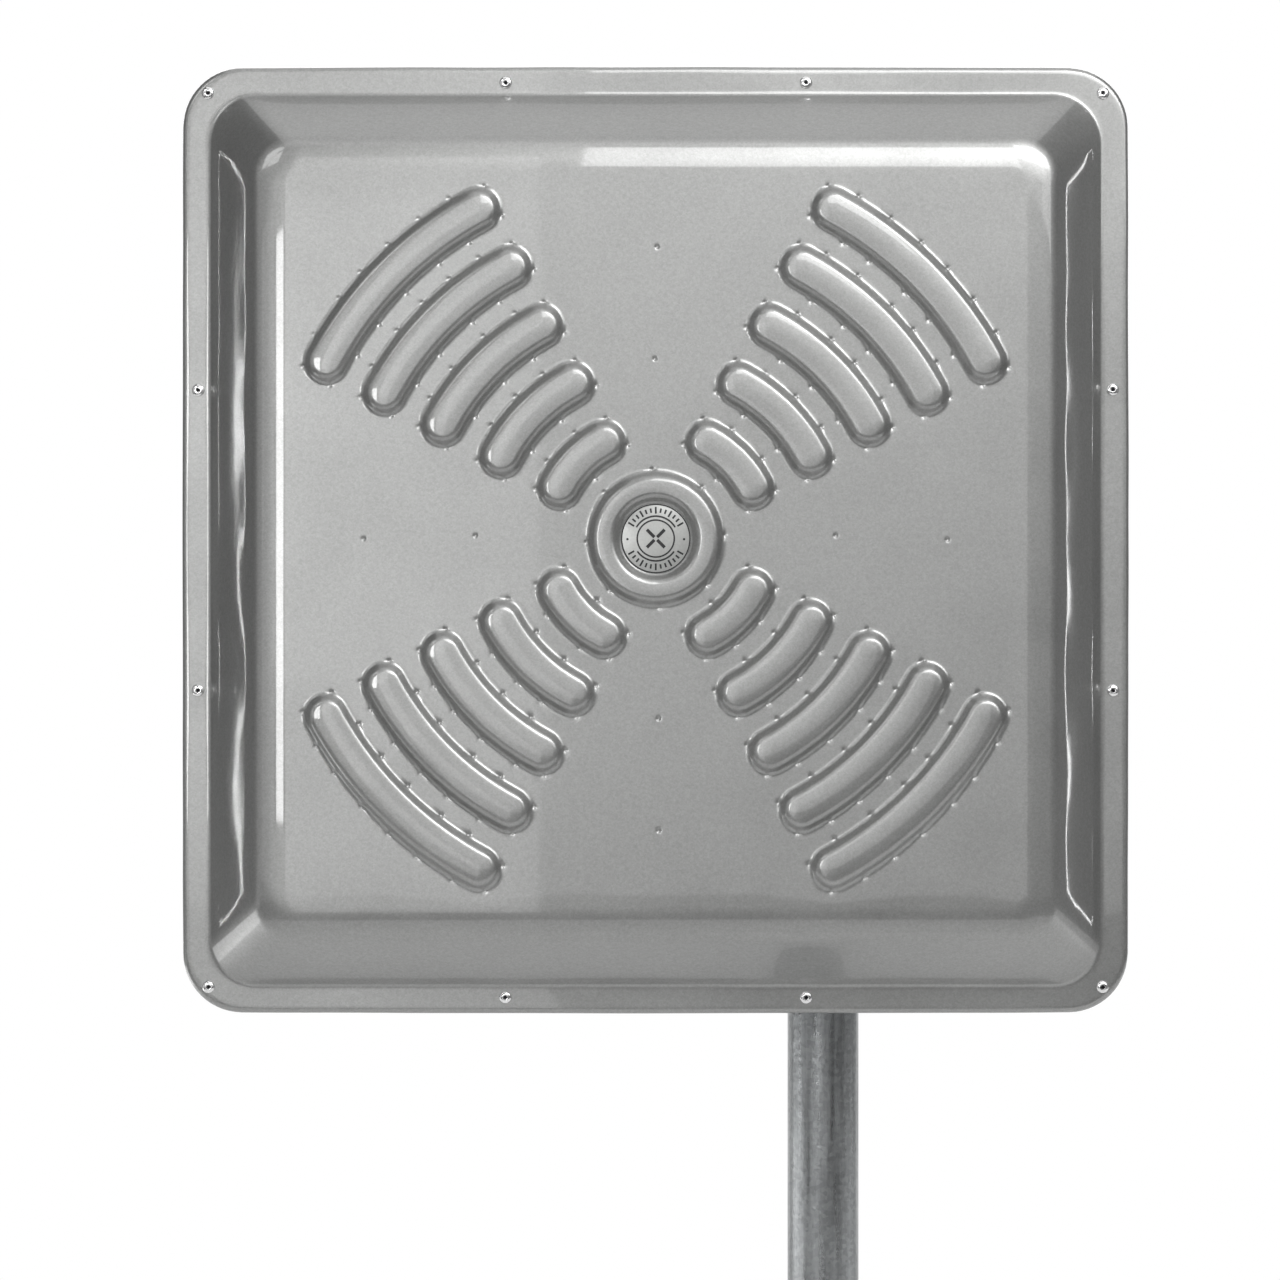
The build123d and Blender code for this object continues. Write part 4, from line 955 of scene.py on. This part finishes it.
class ANTENNA_OT_badge(bpy.types.Operator):
    """Model the round badge and its plain generic print"""

    bl_idname = "antenna.badge"
    bl_label = "Badge"

    def execute(self, context):
        radius = (BADGE_HIGH.x - BADGE_LOW.x) / 2
        thick = BADGE_HIGH.y - BADGE_LOW.y
        rim = 0.2 * MM
        outline = [
            (0, 0), (radius, 0), (radius, thick - rim), (radius - rim * 0.3, thick - rim * 0.3),
            (radius - rim, thick), (0, thick),
        ]
        bm = turned(outline, 96)
        bm.transform(panel_matrix(FACE_Y))
        add_piece("badge_plate", bm, "badge_film", "panel", "badge_disc")

        bm = bmesh.new()
        ink = 0.05 * MM
        arcs = (
            (radius - 0.4 * MM, 0.6 * MM, 0, 360, 96),
            (radius * 0.64, 0.8 * MM, 30, 150, 30),
            (radius * 0.64, 0.8 * MM, 215, 325, 30),
            (radius * 0.53, 0.75 * MM, 0, 360, 72),
        )
        for away, width, start, stop, steps in arcs:
            flat_arc(bm, away, width, radians(start), radians(stop), thick, ink, steps)
        ticks = radius * 0.81
        for side in (0, 1):
            for k in range(13):
                angle = side * pi + radians(30 + 10 * k)
                length = (2.1 if k % 3 else 3.2) * MM
                flat_bar(bm, ticks * cos(angle), ticks * sin(angle), length, 0.85 * MM, angle, thick, ink)
        for turn in (radians(45), radians(135)):
            for end in (-1, 1):
                away = end * 3.4 * MM
                flat_bar(bm, away * cos(turn), away * sin(turn), 5.0 * MM, 1.5 * MM, turn, thick, ink)
        for side in (-1, 1):
            dot = bmesh.ops.create_circle(
                bm, cap_ends=True, radius=0.55 * MM, segments=20,
                matrix=Matrix.Translation((side * ticks, -0.3 * MM, thick + ink)),
            )
            faces = {f for v in dot["verts"] for f in v.link_faces}
            grown = bmesh.ops.extrude_face_region(bm, geom=list(faces))
            verts = [g for g in grown["geom"] if isinstance(g, bmesh.types.BMVert)]
            bmesh.ops.translate(bm, vec=(0, 0, -ink), verts=verts)
        bmesh.ops.recalc_face_normals(bm, faces=bm.faces)
        bm.transform(panel_matrix(FACE_Y))
        add_piece("badge_print", bm, "badge_ink", "panel")
        return {"FINISHED"}


def rivet_spots(fittings):
    """(x, y) of the twelve rivets about the panel's centre."""
    side = PANEL_HALF - fittings.rivet_side_inset
    corner = PANEL_HALF - fittings.rivet_corner_inset
    spots = []
    for sx in (-1, 1):
        for sy in (-1, 1):
            spots.append((sx * corner, sy * corner))
            spots.append((sx * fittings.rivet_offset, sy * side))
            spots.append((sx * side, sy * fittings.rivet_offset))
    return spots


class ANTENNA_OT_rivets(bpy.types.Operator):
    """Model the twelve blind rivets with their hollow heads, near-black discs in the holes as painted shade,
    and upset tails
    """

    bl_idname = "antenna.rivets"
    bl_label = "Rivets"

    def execute(self, context):
        fittings = context.scene.antenna_fittings
        low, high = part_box("flange_rivets")
        head = fittings.rivet_head
        head_height = 1.2 * MM
        flange = low.y + head_height
        tail = flange - high.y
        seat = flange - PLATE_HIGH.y
        outline = [
            (0.0, 0.1 * MM), (0.92 * MM, 0.1 * MM), (0.96 * MM, 0.6 * MM), (1.0 * MM, 1.0 * MM),
            (1.1 * MM, 1.14 * MM), (1.3 * MM, head_height), (1.7 * MM, 1.12 * MM),
            (head * 0.75, 0.9 * MM), (head * 0.9, 0.62 * MM), (head * 0.98, 0.34 * MM), (head, 0.12 * MM),
            (head, -0.05 * MM), (1.6 * MM, -0.05 * MM), (1.6 * MM, seat + 0.02 * MM),
            (2.0 * MM, seat - 0.1 * MM), (2.35 * MM, seat - 0.7 * MM), (2.3 * MM, seat - 1.5 * MM),
            (1.9 * MM, seat - 2.2 * MM), (1.5 * MM, tail + 0.1 * MM), (0.8 * MM, tail),
            (0.6 * MM, tail + 0.35 * MM), (0.0, tail + 0.4 * MM),
        ]
        rng = random.Random(5)
        one = turned(outline, 28)
        # near-black disc in each rivet's hole: painted shade standing in for the dark hollow
        core = turned([(0, 0.1 * MM), (0.86 * MM, 0.1 * MM), (0.84 * MM, 0.5 * MM), (0, 0.72 * MM)], 20)
        bm = bmesh.new()
        hole_shades = bmesh.new()
        for x, y in rivet_spots(fittings):
            tip = Matrix.Rotation(radians(rng.uniform(-2.0, 2.0)), 4, "X")
            tip = tip @ Matrix.Rotation(radians(rng.uniform(-2.0, 2.0)), 4, "Y")
            aside = (x + rng.uniform(-0.2, 0.2) * MM, y + rng.uniform(-0.2, 0.2) * MM, 0)
            place = Matrix.Translation(aside) @ tip
            join_copy(bm, one, place @ Matrix.Rotation(rng.uniform(0, pi), 4, "Z"))
            join_copy(hole_shades, core, place)
        for part in (one, core):
            part.free()
        for part in (bm, hole_shades):
            part.transform(panel_matrix(flange))
        add_piece("blind_rivets", bm, "rivet_alloy", "panel", "flange_rivets")
        # the near-black discs are painted shade in the rivet holes
        add_piece("rivet_cores", hole_shades, "rivet_core", "panel")
        return {"FINISHED"}


# ---- Mast ----
class ANTENNA_OT_mast(bpy.types.Operator):
    """Model the galvanised mast tube and its end cap"""

    bl_idname = "antenna.mast"
    bl_label = "Mast"

    def execute(self, context):
        fittings = context.scene.antenna_fittings
        inner = MAST_R - fittings.mast_wall
        cut = 0.35 * MM
        top = MAST_HIGH.z
        ring = MAST_R + fittings.groove_radius - fittings.groove_depth
        bite = acos((ring - MAST_R) / fittings.groove_radius)
        level = fittings.foot_grip + fittings.groove_radius * sin(bite)
        groove = arc((ring, level), fittings.groove_radius, pi + bite, pi - bite, 8)
        above = groove[-1][1]
        steps = 12
        rise = [(MAST_R, above + (top - cut - above) * k / steps) for k in range(1, steps + 1)]
        outline = [(inner, top - cut), (inner, cut), (inner + cut, 0.0), (MAST_R - cut, 0.0), (MAST_R, cut)]
        outline += groove + rise
        outline += [(MAST_R - cut, top), (inner + cut, top), (inner, top - cut)]
        bm = turned(outline, 112)
        add_piece("mast_pipe", bm, "galvanised_steel", "mast", "mast_tube", sharp=30.0)
        cap_low, cap_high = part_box("mast_cap")
        rim = cap_high.z - top
        plug = inner - 0.1 * MM
        hollow = 2 * MM
        outline = [(0.0, top + rim), (MAST_R * 0.7, top + rim)]
        outline += arc((MAST_R - rim * 0.8, top + rim * 0.2), rim * 0.8, pi / 2, 0.0, 5)
        outline += [(MAST_R, top), (plug, top), (plug, cap_low.z)]
        outline += [(inner - hollow, cap_low.z), (inner - hollow, top - hollow), (0.0, top - hollow)]
        add_piece("mast_plug", turned(outline, 72), "black_plastic", "mast", "mast_cap")
        return {"FINISHED"}


# ---- Bolts, nuts, washers and sockets ----
AIM_FRONT = Matrix.Rotation(radians(90), 4, "X")
AIM_BACK = Matrix.Rotation(radians(-90), 4, "X")
AIM_RIGHT = Matrix.Rotation(radians(90), 4, "Y")
AIM_LEFT = Matrix.Rotation(radians(-90), 4, "Y")
WASHER_PLAY = 0.2 * MM


def hexagon(bm, flats, low, high, bore=0.0, turn=0.0):
    """A nut or head about +Z: a hexagonal prism cut back by a cone at both ends."""
    corner = flats / sqrt(3)
    seat = flats / 2 * 0.95
    rows = 5
    reach = [(corner - seat) * k / rows for k in range(rows + 1)]
    cone = [(seat + r, r * tan(radians(30))) for r in reach]
    outline = [(bore, low)] + [(r, low + h) for r, h in cone] + [(r, high - h) for r, h in reversed(cone)]
    outline.append((bore, high))
    if bore:
        outline.append((bore, low))
    lathe(bm, outline, 48)
    for vert in bm.verts:
        radius = vert.co.xy.length
        if radius > seat * 0.99:
            angle = atan2(vert.co.y, vert.co.x)
            lean = (angle - radians(30)) % radians(60)
            limit = flats / 2 / cos(min(lean, radians(60) - lean))
            if radius > limit:
                vert.co.xy *= limit / radius
    bm.transform(Matrix.Rotation(turn, 4, "Z"))
    bmesh.ops.recalc_face_normals(bm, faces=bm.faces)


def washer(bm, inner, outer, low, high):
    """A flat washer about +Z with softened edges."""
    edge = min(0.25 * MM, (high - low) / 3)
    outline = [
        (inner, low), (outer - edge, low), (outer, low + edge), (outer, high - edge), (outer - edge, high),
        (inner, high), (inner, low),
    ]
    lathe(bm, outline, 48)
    bmesh.ops.recalc_face_normals(bm, faces=bm.faces)


def thread(bm, crest, pitch, low, high, steps=24):
    """A helical ridge about +Z that fades out at both ends."""
    root = crest - 0.56 * pitch
    outline = [(root, 0.0), (crest, 0.40 * pitch), (crest, 0.54 * pitch), (root, 0.94 * pitch), (root, pitch)]
    turns = int((high - low) / pitch) - 1
    ridge = bmesh.new()
    strip = chain(ridge, [(r, 0.0, low + h) for r, h in outline])
    bmesh.ops.spin(
        ridge, geom=strip, cent=(0, 0, 0), axis=(0, 0, 1), angle=2 * pi * turns, steps=turns * steps,
        dvec=(0, 0, pitch / steps), use_duplicate=False,
    )
    bmesh.ops.remove_doubles(ridge, verts=ridge.verts, dist=SEAM)
    top = low + (turns + 1) * pitch
    for vert in ridge.verts:
        radius = vert.co.xy.length
        share = min(1.0, max(0.0, min(vert.co.z - low, top - vert.co.z) / pitch))
        wanted = root + (radius - root) * share
        vert.co.xy *= wanted / radius
    bmesh.ops.recalc_face_normals(ridge, faces=ridge.faces)
    join_part(bm, ridge)
    return root


def threaded_rod(bm, crest, pitch, low, high, plain=None, start_open=False):
    """A rod about +Z: plain up to a height, threaded above it, with a chamfered tip."""
    plain = low if plain is None else plain
    root = thread(bm, crest, pitch, plain, high - 0.2 * MM)
    core = root + 0.03 * MM
    tip = 0.5 * MM
    outline = [] if start_open else [(0.0, low)]
    if plain > low:
        outline += [(crest, low), (crest, plain), (core, plain + 0.35 * MM)]
    else:
        outline += [(core, low)]
    outline += [(core, high - tip), (core - tip, high), (0.0, high)]
    join_part(bm, turned(outline, 24))


def middle_of(node):
    """Centre of a node's box."""
    low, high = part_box(node)
    return (low + high) / 2


def corner_spots(node, reach):
    """(x, z) of four round pieces of one radius, from the box round them."""
    low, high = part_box(node)
    return [(x, z) for x in (low.x + reach, high.x - reach) for z in (low.z + reach, high.z - reach)]


def grip_spots(sizes):
    """(x, z) of the four U-bolt legs."""
    return corner_spots("grip_washers", sizes.m8_washer)


def stud_spots(sizes):
    """(x, z) of the four studs that hold the carrier."""
    return corner_spots("stud_washers", sizes.m6_washer)


def tilt_spots(sizes):
    """(y, z) of the pivot bolt and the locking bolt."""
    pivot = middle_of("ear_washers")
    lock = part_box("tilt_washers")[0].z + sizes.m8_washer
    return [(pivot.y, pivot.z), (pivot.y, lock)]


def spread(one, places):
    """Copies of a bmesh at many places, as one bmesh; the first one is freed."""
    bm = bmesh.new()
    for place in places:
        join_copy(bm, one, place)
    one.free()
    return bm


class ANTENNA_OT_washers(bpy.types.Operator):
    """Model the washers under nuts and bolt heads"""

    bl_idname = "antenna.washers"
    bl_label = "Washers"

    def execute(self, context):
        sizes = context.scene.antenna_fasteners
        low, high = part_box("grip_washers")
        one = bmesh.new()
        washer(one, sizes.m8_radius + WASHER_PLAY, sizes.m8_washer, 0.0, high.y - low.y)
        bm = spread(one, [Matrix.Translation((x, high.y, z)) @ AIM_FRONT for x, z in grip_spots(sizes)])
        add_piece("grip_washer_set", bm, "zinc_plate", "clamp", "grip_washers")

        thick = high.y - low.y
        low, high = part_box("tilt_washers")
        one = bmesh.new()
        washer(one, sizes.m8_radius + WASHER_PLAY, sizes.m8_washer, 0.0, thick)
        places = []
        for y, z in tilt_spots(sizes):
            places.append(Matrix.Translation((high.x - thick, y, z)) @ AIM_RIGHT)
            places.append(Matrix.Translation((low.x + thick, y, z)) @ AIM_LEFT)
        bm = spread(one, places)
        add_piece("tilt_washer_set", bm, "zinc_plate", "clamp", "tilt_washers")

        low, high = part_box("stud_washers")
        one = bmesh.new()
        washer(one, sizes.m6_radius + WASHER_PLAY, sizes.m6_washer, 0.0, high.y - low.y)
        bm = spread(one, [Matrix.Translation((x, low.y, z)) @ AIM_BACK for x, z in stud_spots(sizes)])
        add_piece("stud_washer_set", bm, "zinc_plate", "panel", "stud_washers")
        return {"FINISHED"}


class ANTENNA_OT_nuts(bpy.types.Operator):
    """Model the hexagon nuts"""

    bl_idname = "antenna.nuts"
    bl_label = "Nuts"

    def execute(self, context):
        sizes = context.scene.antenna_fasteners
        low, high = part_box("grip_nuts")
        one = bmesh.new()
        hexagon(one, sizes.m8_flats, 0.0, high.y - low.y, sizes.m8_radius)
        bm = spread(one, [Matrix.Translation((x, high.y, z)) @ AIM_FRONT for x, z in grip_spots(sizes)])
        add_piece("grip_nut_set", bm, "zinc_plate", "clamp", "grip_nuts", sharp=25.0)

        low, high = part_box("tilt_nuts")
        one = bmesh.new()
        hexagon(one, sizes.m8_flats, 0.0, high.x - low.x, sizes.m8_radius, radians(30))
        bm = spread(one, [Matrix.Translation((high.x, y, z)) @ AIM_LEFT for y, z in tilt_spots(sizes)])
        add_piece("tilt_nut_set", bm, "zinc_plate", "clamp", "tilt_nuts", sharp=25.0)

        low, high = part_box("stud_nuts")
        one = bmesh.new()
        hexagon(one, sizes.m6_flats, 0.0, high.y - low.y, sizes.m6_radius)
        bm = spread(one, [Matrix.Translation((x, low.y, z)) @ AIM_BACK for x, z in stud_spots(sizes)])
        add_piece("stud_nut_set", bm, "zinc_plate", "panel", "stud_nuts", sharp=25.0)
        return {"FINISHED"}


class ANTENNA_OT_bolts(bpy.types.Operator):
    """Model the U-bolts, the tilt bolts and the studs with their threads"""

    bl_idname = "antenna.bolts"
    bl_label = "Bolts and Studs"

    def execute(self, context):
        sizes = context.scene.antenna_fasteners
        rod = sizes.m8_radius
        low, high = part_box("u_bolts")
        reach = -low.y
        bend = high.x - rod
        leg = bmesh.new()
        threaded_rod(leg, rod, sizes.m8_pitch, 0.0, reach, plain=reach * 0.42, start_open=True)
        one = bmesh.new()
        ring = bmesh.ops.create_circle(
            one, radius=rod, segments=24, matrix=Matrix.Translation((bend, 0, 0)) @ AIM_FRONT
        )
        edges = list({e for v in ring["verts"] for e in v.link_edges})
        bmesh.ops.spin(
            one, geom=ring["verts"] + edges, cent=(0, 0, 0), axis=(0, 0, 1), angle=pi, steps=30,
            use_duplicate=False,
        )
        for side in (-1, 1):
            join_copy(one, leg, Matrix.Translation((side * bend, 0, 0)) @ AIM_FRONT)
        leg.free()
        bmesh.ops.remove_doubles(one, verts=one.verts, dist=PATCH_SEAM)
        bmesh.ops.recalc_face_normals(one, faces=one.faces)
        bm = spread(one, [Matrix.Translation((0, 0, z)) for z in (low.z + rod, high.z - rod)])
        add_piece("u_bolt_pair", bm, "zinc_plate", "clamp", "u_bolts", sharp=40.0)

        low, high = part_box("tilt_bolts")
        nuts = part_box("tilt_nuts")[1].x
        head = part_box("tilt_washers")[1].x
        thread_past_nut = 8.0 * MM
        one = bmesh.new()
        cap = bmesh.new()
        hexagon(cap, sizes.m8_flats, 0.0, high.x - head, 0.0, radians(30))
        join_part(one, cap, Matrix.Translation((head, 0, 0)) @ AIM_RIGHT)
        shank = bmesh.new()
        threaded_rod(shank, rod, sizes.m8_pitch, 0.0, head - low.x, plain=head - nuts - thread_past_nut)
        join_part(one, shank, Matrix.Translation((head, 0, 0)) @ AIM_LEFT)
        bm = spread(one, [Matrix.Translation((0, y, z)) for y, z in tilt_spots(sizes)])
        add_piece("tilt_bolt_pair", bm, "zinc_plate", "clamp", "tilt_bolts", sharp=25.0)

        low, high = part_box("plate_studs")
        front = PLATE_LOW.y
        one = bmesh.new()
        threaded_rod(one, sizes.m6_radius, sizes.m6_pitch, 0.0, high.y - front)
        head = bmesh.new()
        washer(head, 0.0, high.x - stud_spots(sizes)[-1][0], 0.0, front - low.y)
        join_part(one, head, Matrix.Translation((0, 0, low.y - front)))
        bm = spread(one, [Matrix.Translation((x, front, z)) @ AIM_BACK for x, z in stud_spots(sizes)])
        add_piece("stud_set", bm, "zinc_plate", "panel", "plate_studs", sharp=40.0)
        return {"FINISHED"}


class ANTENNA_OT_sockets(bpy.types.Operator):
    """Model the two threaded coaxial sockets"""

    bl_idname = "antenna.sockets"
    bl_label = "Coaxial Sockets"

    def execute(self, context):
        sizes = context.scene.antenna_fasteners
        low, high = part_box("socket_bodies")
        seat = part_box("socket_gaskets")[1].y
        half = sizes.socket_flange / 2
        left = low.x + half
        right = high.x - half
        level = (low.z + high.z) / 2
        thick = 3.0 * MM
        mouth = high.y - seat
        one = bmesh.new()
        loops = []
        edge = 0.3 * MM
        corner = 2.0 * MM
        rows = ((0.0, 0.0), (0.0, thick - edge), (edge * 0.3, thick - edge * 0.3), (edge, thick))
        for inset, height in rows:
            loops.append(square_loop(one, half - inset, corner - inset, height))
        bmesh.ops.edgeloop_fill(one, edges=loops[0])
        for outer, inner in zip(loops, loops[1:]):
            bmesh.ops.bridge_loops(one, edges=outer + inner)
        bmesh.ops.edgeloop_fill(one, edges=loops[-1])
        bmesh.ops.recalc_face_normals(one, faces=one.faces)
        crest = sizes.socket_radius
        bore = 4.6 * MM
        neck = 7.2 * MM
        bevel = 0.5 * MM
        start = thick + 2.5 * MM
        root = thread(one, crest, sizes.socket_pitch, start, mouth - 0.35 * MM, steps=36)
        core = root + 0.03 * MM
        outline = [
            (bore, 0.0), (neck, 0.0), (neck, start), (core, start + 0.2 * MM), (core, mouth - bevel),
            (core - bevel, mouth), (bore + bevel, mouth), (bore, mouth - bevel), (bore, 0.0),
        ]
        join_part(one, turned(outline, 48))
        tail = 6.0 * MM
        near, far = 0.1 * MM, low.y - seat
        outline = [(bore, near), (tail, near), (tail, far), (bore, far), (bore, near)]
        join_part(one, turned(outline, 48))
        bm = spread(one, [Matrix.Translation((x, seat, level)) @ AIM_BACK for x in (left, right)])
        add_piece("coax_socket_pair", bm, "nickel_plate", "panel", "socket_bodies", sharp=30.0)
        return {"FINISHED"}


# ---- Carried-over CAD pieces ----
CAD_FINISHES = {
    "galvanised_steel": ("clamp_bracket", "carrier_bracket"),
    "cast_alloy": ("mast_jaws",),
    "rolled_alloy": ("reflector_plate", "director_plates"),
    "zinc_plate": ("board_screws", "director_screws", "socket_screws"),
    "natural_nylon": ("ear_washers", "board_spacers", "director_posts"),
    "black_rubber": ("flange_seal", "socket_gaskets"),
    "black_plastic": ("drain_vent",),
    "white_resin": ("socket_insulators",),
    "green_laminate": ("feed_board",),
    "copper_foil": ("feed_copper",),
    "gilt_contact": ("socket_contacts",),
    "rating_film": ("rear_label",),
}


class ANTENNA_OT_cad_finishes(bpy.types.Operator):
    """Give every carried-over piece its finish"""

    bl_idname = "antenna.cad_finishes"
    bl_label = "Finishes of Carried-over Pieces"

    def execute(self, context):
        for finish, names in CAD_FINISHES.items():
            for name in names:
                for slot in NODES[name].material_slots:
                    slot.material = finishes()[finish]
        return {"FINISHED"}


# ---- Studio ----
# direction of the lobe, cosine at its edge, cosine at its core, glow
WORLD_LOBES = (
    ((-1.0, 0.0, 0.0), 0.2, 0.9, 0.14),
    ((1.0, 0.0, 0.0), 0.2, 0.9, 0.16),
    ((0.0, 1.0, 0.0), 0.45, 0.8, 1.0),
)
# top of the floor, just under the foot of the mast
FLOOR_Z = -0.5 * MM
# lowest and highest corner from the middle of the flange's front, and glow
SOFTBOXES = {
    "key_near": ((0.40, -1.3, 0.80), (1.00, -1.3, 1.50), 12.5),
    "key_far": ((1.00, -1.3, 0.80), (1.80, -1.3, 1.50), 7.0),
    "key_side": ((-0.05, -1.3, 0.80), (0.40, -1.3, 1.30), 4.6),
    "key_skirt": ((1.00, -1.3, 0.28), (1.80, -1.3, 0.80), 2.4),
    "left_high": ((-1.60, -1.3, 0.80), (-0.80, -1.3, 1.50), 3.4),
    "left_strip": ((-0.68, -1.3, -0.18), (-0.42, -1.3, 0.25), 9.0),
    "left_far": ((-1.60, -1.3, -0.25), (-0.80, -1.3, 0.28), 0.67),
    "front_left": ((-0.35, -1.3, -0.25), (-0.08, -1.3, 0.28), 1.7),
    "front_left_high": ((-0.35, -1.3, 0.28), (-0.08, -1.3, 0.80), 1.3),
    "front_left_low": ((-0.35, -1.3, -0.45), (-0.08, -1.3, -0.25), 1.07),
    "front_mid": ((-0.08, -1.3, -0.25), (0.40, -1.3, 0.28), 0.85),
    "front_mid_high": ((-0.08, -1.3, 0.28), (0.40, -1.3, 0.44), 0.75),
    "front_right_high": ((0.40, -1.3, 0.28), (1.00, -1.3, 0.80), 1.1),
    "overhead": ((-0.60, -1.0, 1.2), (0.80, 0.7, 1.2), 0.95),
    "left_edge": ((-1.2, 0.3470, -0.40), (-1.2, 0.3476, 0.45), 45.0),
    "right_edge": ((1.2, 0.3490, -0.40), (1.2, 0.3520, 0.40), 14.0),
    "left_side": ((-1.2, -0.9, -0.45), (-1.2, -0.3, 0.65), 0.45),
    "band_box": ((-0.05, -1.3, 0.44), (0.45, -1.3, 0.80), 4.6),
    "mast_left": ((-0.65, -0.15, -0.85), (-0.65, 0.45, -0.32), 2.0),
    "mast_right": ((0.75, -0.15, -0.85), (0.75, 0.45, -0.32), 0.6),
    "rear_fill": ((-1.0, 2.0, 0.2), (1.2, 2.0, 1.6), 2.6),
}


def add_softbox(name, centre, low, high, glow):
    """An area light over a flat box given from a centre; it faces that centre.

    One side of the box has no size, and glow is the radiance.
    """
    low, high = Vector(low), Vector(high)
    middle, size = (low + high) / 2, high - low
    flat = min(range(3), key=lambda k: size[k])
    across = [size[k] for k in range(3) if k != flat]
    light = bpy.data.lights.new(name, "AREA")
    light.shape = "RECTANGLE"
    light.size, light.size_y = across
    light.energy = glow * pi * across[0] * across[1]
    lamp = bpy.data.objects.new(name, light)
    lamp.location = centre + middle
    inward = -1 if middle[flat] > 0 else 1
    turns = {
        0: Matrix.Rotation(radians(-90 * inward), 3, "Y") @ Matrix.Rotation(radians(90), 3, "Z"),
        1: Matrix.Rotation(radians(90 * inward), 3, "X"),
        2: Matrix.Rotation(radians(0 if inward < 0 else 180), 3, "X"),
    }
    lamp.rotation_euler = turns[flat].to_euler()
    bpy.context.scene.collection.objects.link(lamp)


def studio_world():
    """White to the camera; to the object, soft lobes of light in a dim room."""
    world = bpy.data.worlds.new("studio")
    bpy.context.scene.world = world
    world.use_nodes = True
    nodes, links = world.node_tree.nodes, world.node_tree.links
    backdrop = nodes["Background"]
    backdrop.inputs["Color"].default_value = (1, 1, 1, 1)
    backdrop.inputs["Strength"].default_value = 1.0
    room = nodes.new("ShaderNodeBackground")
    direction = nodes.new("ShaderNodeTexCoord").outputs["Generated"]
    lights = []
    for axis, edge, core, glow in WORLD_LOBES:
        toward = nodes.new("ShaderNodeVectorMath")
        toward.operation = "DOT_PRODUCT"
        links.new(direction, toward.inputs[0])
        toward.inputs[1].default_value = Vector(axis).normalized()
        lobe = nodes.new("ShaderNodeMapRange")
        lobe.interpolation_type = "SMOOTHSTEP"
        lobe.inputs["From Min"].default_value = edge
        lobe.inputs["From Max"].default_value = core
        lobe.inputs["To Max"].default_value = glow
        links.new(toward.outputs["Value"], lobe.inputs["Value"])
        lights.append(lobe.outputs["Result"])
    total = lights[0]
    for light in lights[1:]:
        both = nodes.new("ShaderNodeMath")
        links.new(total, both.inputs[0])
        links.new(light, both.inputs[1])
        total = both.outputs["Value"]
    links.new(total, room.inputs["Color"])
    ray = nodes.new("ShaderNodeLightPath")
    pick = nodes.new("ShaderNodeMixShader")
    links.new(ray.outputs["Is Camera Ray"], pick.inputs["Fac"])
    links.new(room.outputs["Background"], pick.inputs[1])
    links.new(backdrop.outputs["Background"], pick.inputs[2])
    links.new(pick.outputs["Shader"], nodes["World Output"].inputs["Surface"])


class ANTENNA_OT_studio(bpy.types.Operator):
    """Set up the floor, the lights and the camera"""

    bl_idname = "antenna.studio"
    bl_label = "Studio"

    def execute(self, context):
        scene = context.scene
        studio = scene.antenna_studio
        bm = bmesh.new()
        bmesh.ops.create_circle(bm, cap_ends=True, radius=studio.floor_radius, segments=128)
        mesh = bpy.data.meshes.new("studio_floor")
        bm.to_mesh(mesh)
        bm.free()
        floor_finish = Finish("pale_floor", roughness=0.6)
        shade = floor_finish.group("Cloud", Scale=3.0, Detail=2.0, Low=0.0, High=1.0)
        floor_finish.colour(shade, (0.80, 0.80, 0.80), (0.84, 0.84, 0.84))
        mesh.materials.append(floor_finish.material)
        floor = bpy.data.objects.new("studio_floor", mesh)
        scene.collection.objects.link(floor)
        floor.location.z = FLOOR_Z

        centre = Vector((PANEL_X, FACE_Y + scene.antenna_radome.dome_height, PANEL_Z))
        for name, (low, high, glow) in SOFTBOXES.items():
            add_softbox(name, centre, low, high, glow)
        studio_world()

        camera = bpy.data.cameras.new("camera")
        camera.sensor_width = 36.0
        camera.lens = camera.sensor_width * studio.distance / studio.view_width
        eye = bpy.data.objects.new("camera", camera)
        eye.location = centre + Vector((-studio.left, -studio.distance, -studio.below))
        eye.rotation_euler = (radians(90), 0, 0)
        scene.collection.objects.link(eye)
        scene.camera = eye
        scene.view_settings.view_transform = "Standard"
        return {"FINISHED"}


class ANTENNA_PT_panel(bpy.types.Panel):
    """Lists the antenna's building steps"""

    bl_label = "Flat Panel Antenna"
    bl_idname = "ANTENNA_PT_panel"
    bl_space_type = "VIEW_3D"
    bl_region_type = "UI"
    bl_category = "Antenna"

    def draw(self, context):
        for operator in OPERATORS:
            self.layout.operator(operator.bl_idname)


OPERATORS = (
    ANTENNA_OT_studio,
    ANTENNA_OT_cad_finishes,
    ANTENNA_OT_radome,
    ANTENNA_OT_badge,
    ANTENNA_OT_rivets,
    ANTENNA_OT_mast,
    ANTENNA_OT_washers,
    ANTENNA_OT_nuts,
    ANTENNA_OT_bolts,
    ANTENNA_OT_sockets,
)
GROUPS = {
    "antenna_radome": RadomeSizes,
    "antenna_fittings": FittingSizes,
    "antenna_fasteners": FastenerSizes,
    "antenna_studio": StudioSettings,
    "antenna_colours": FinishColours,
}


def register():
    for group in GROUPS.values():
        bpy.utils.register_class(group)
    for name, group in GROUPS.items():
        setattr(bpy.types.Scene, name, PointerProperty(type=group))
    for cls in (*OPERATORS, ANTENNA_PT_panel):
        bpy.utils.register_class(cls)


def unregister():
    for cls in (ANTENNA_PT_panel, *reversed(OPERATORS)):
        bpy.utils.unregister_class(cls)
    for name, group in GROUPS.items():
        delattr(bpy.types.Scene, name)
        bpy.utils.unregister_class(group)


def main():
    register()
    for operator in OPERATORS:
        category, name = operator.bl_idname.split(".")
        getattr(getattr(bpy.ops, category), name)()


if __name__ == "__main__":
    main()
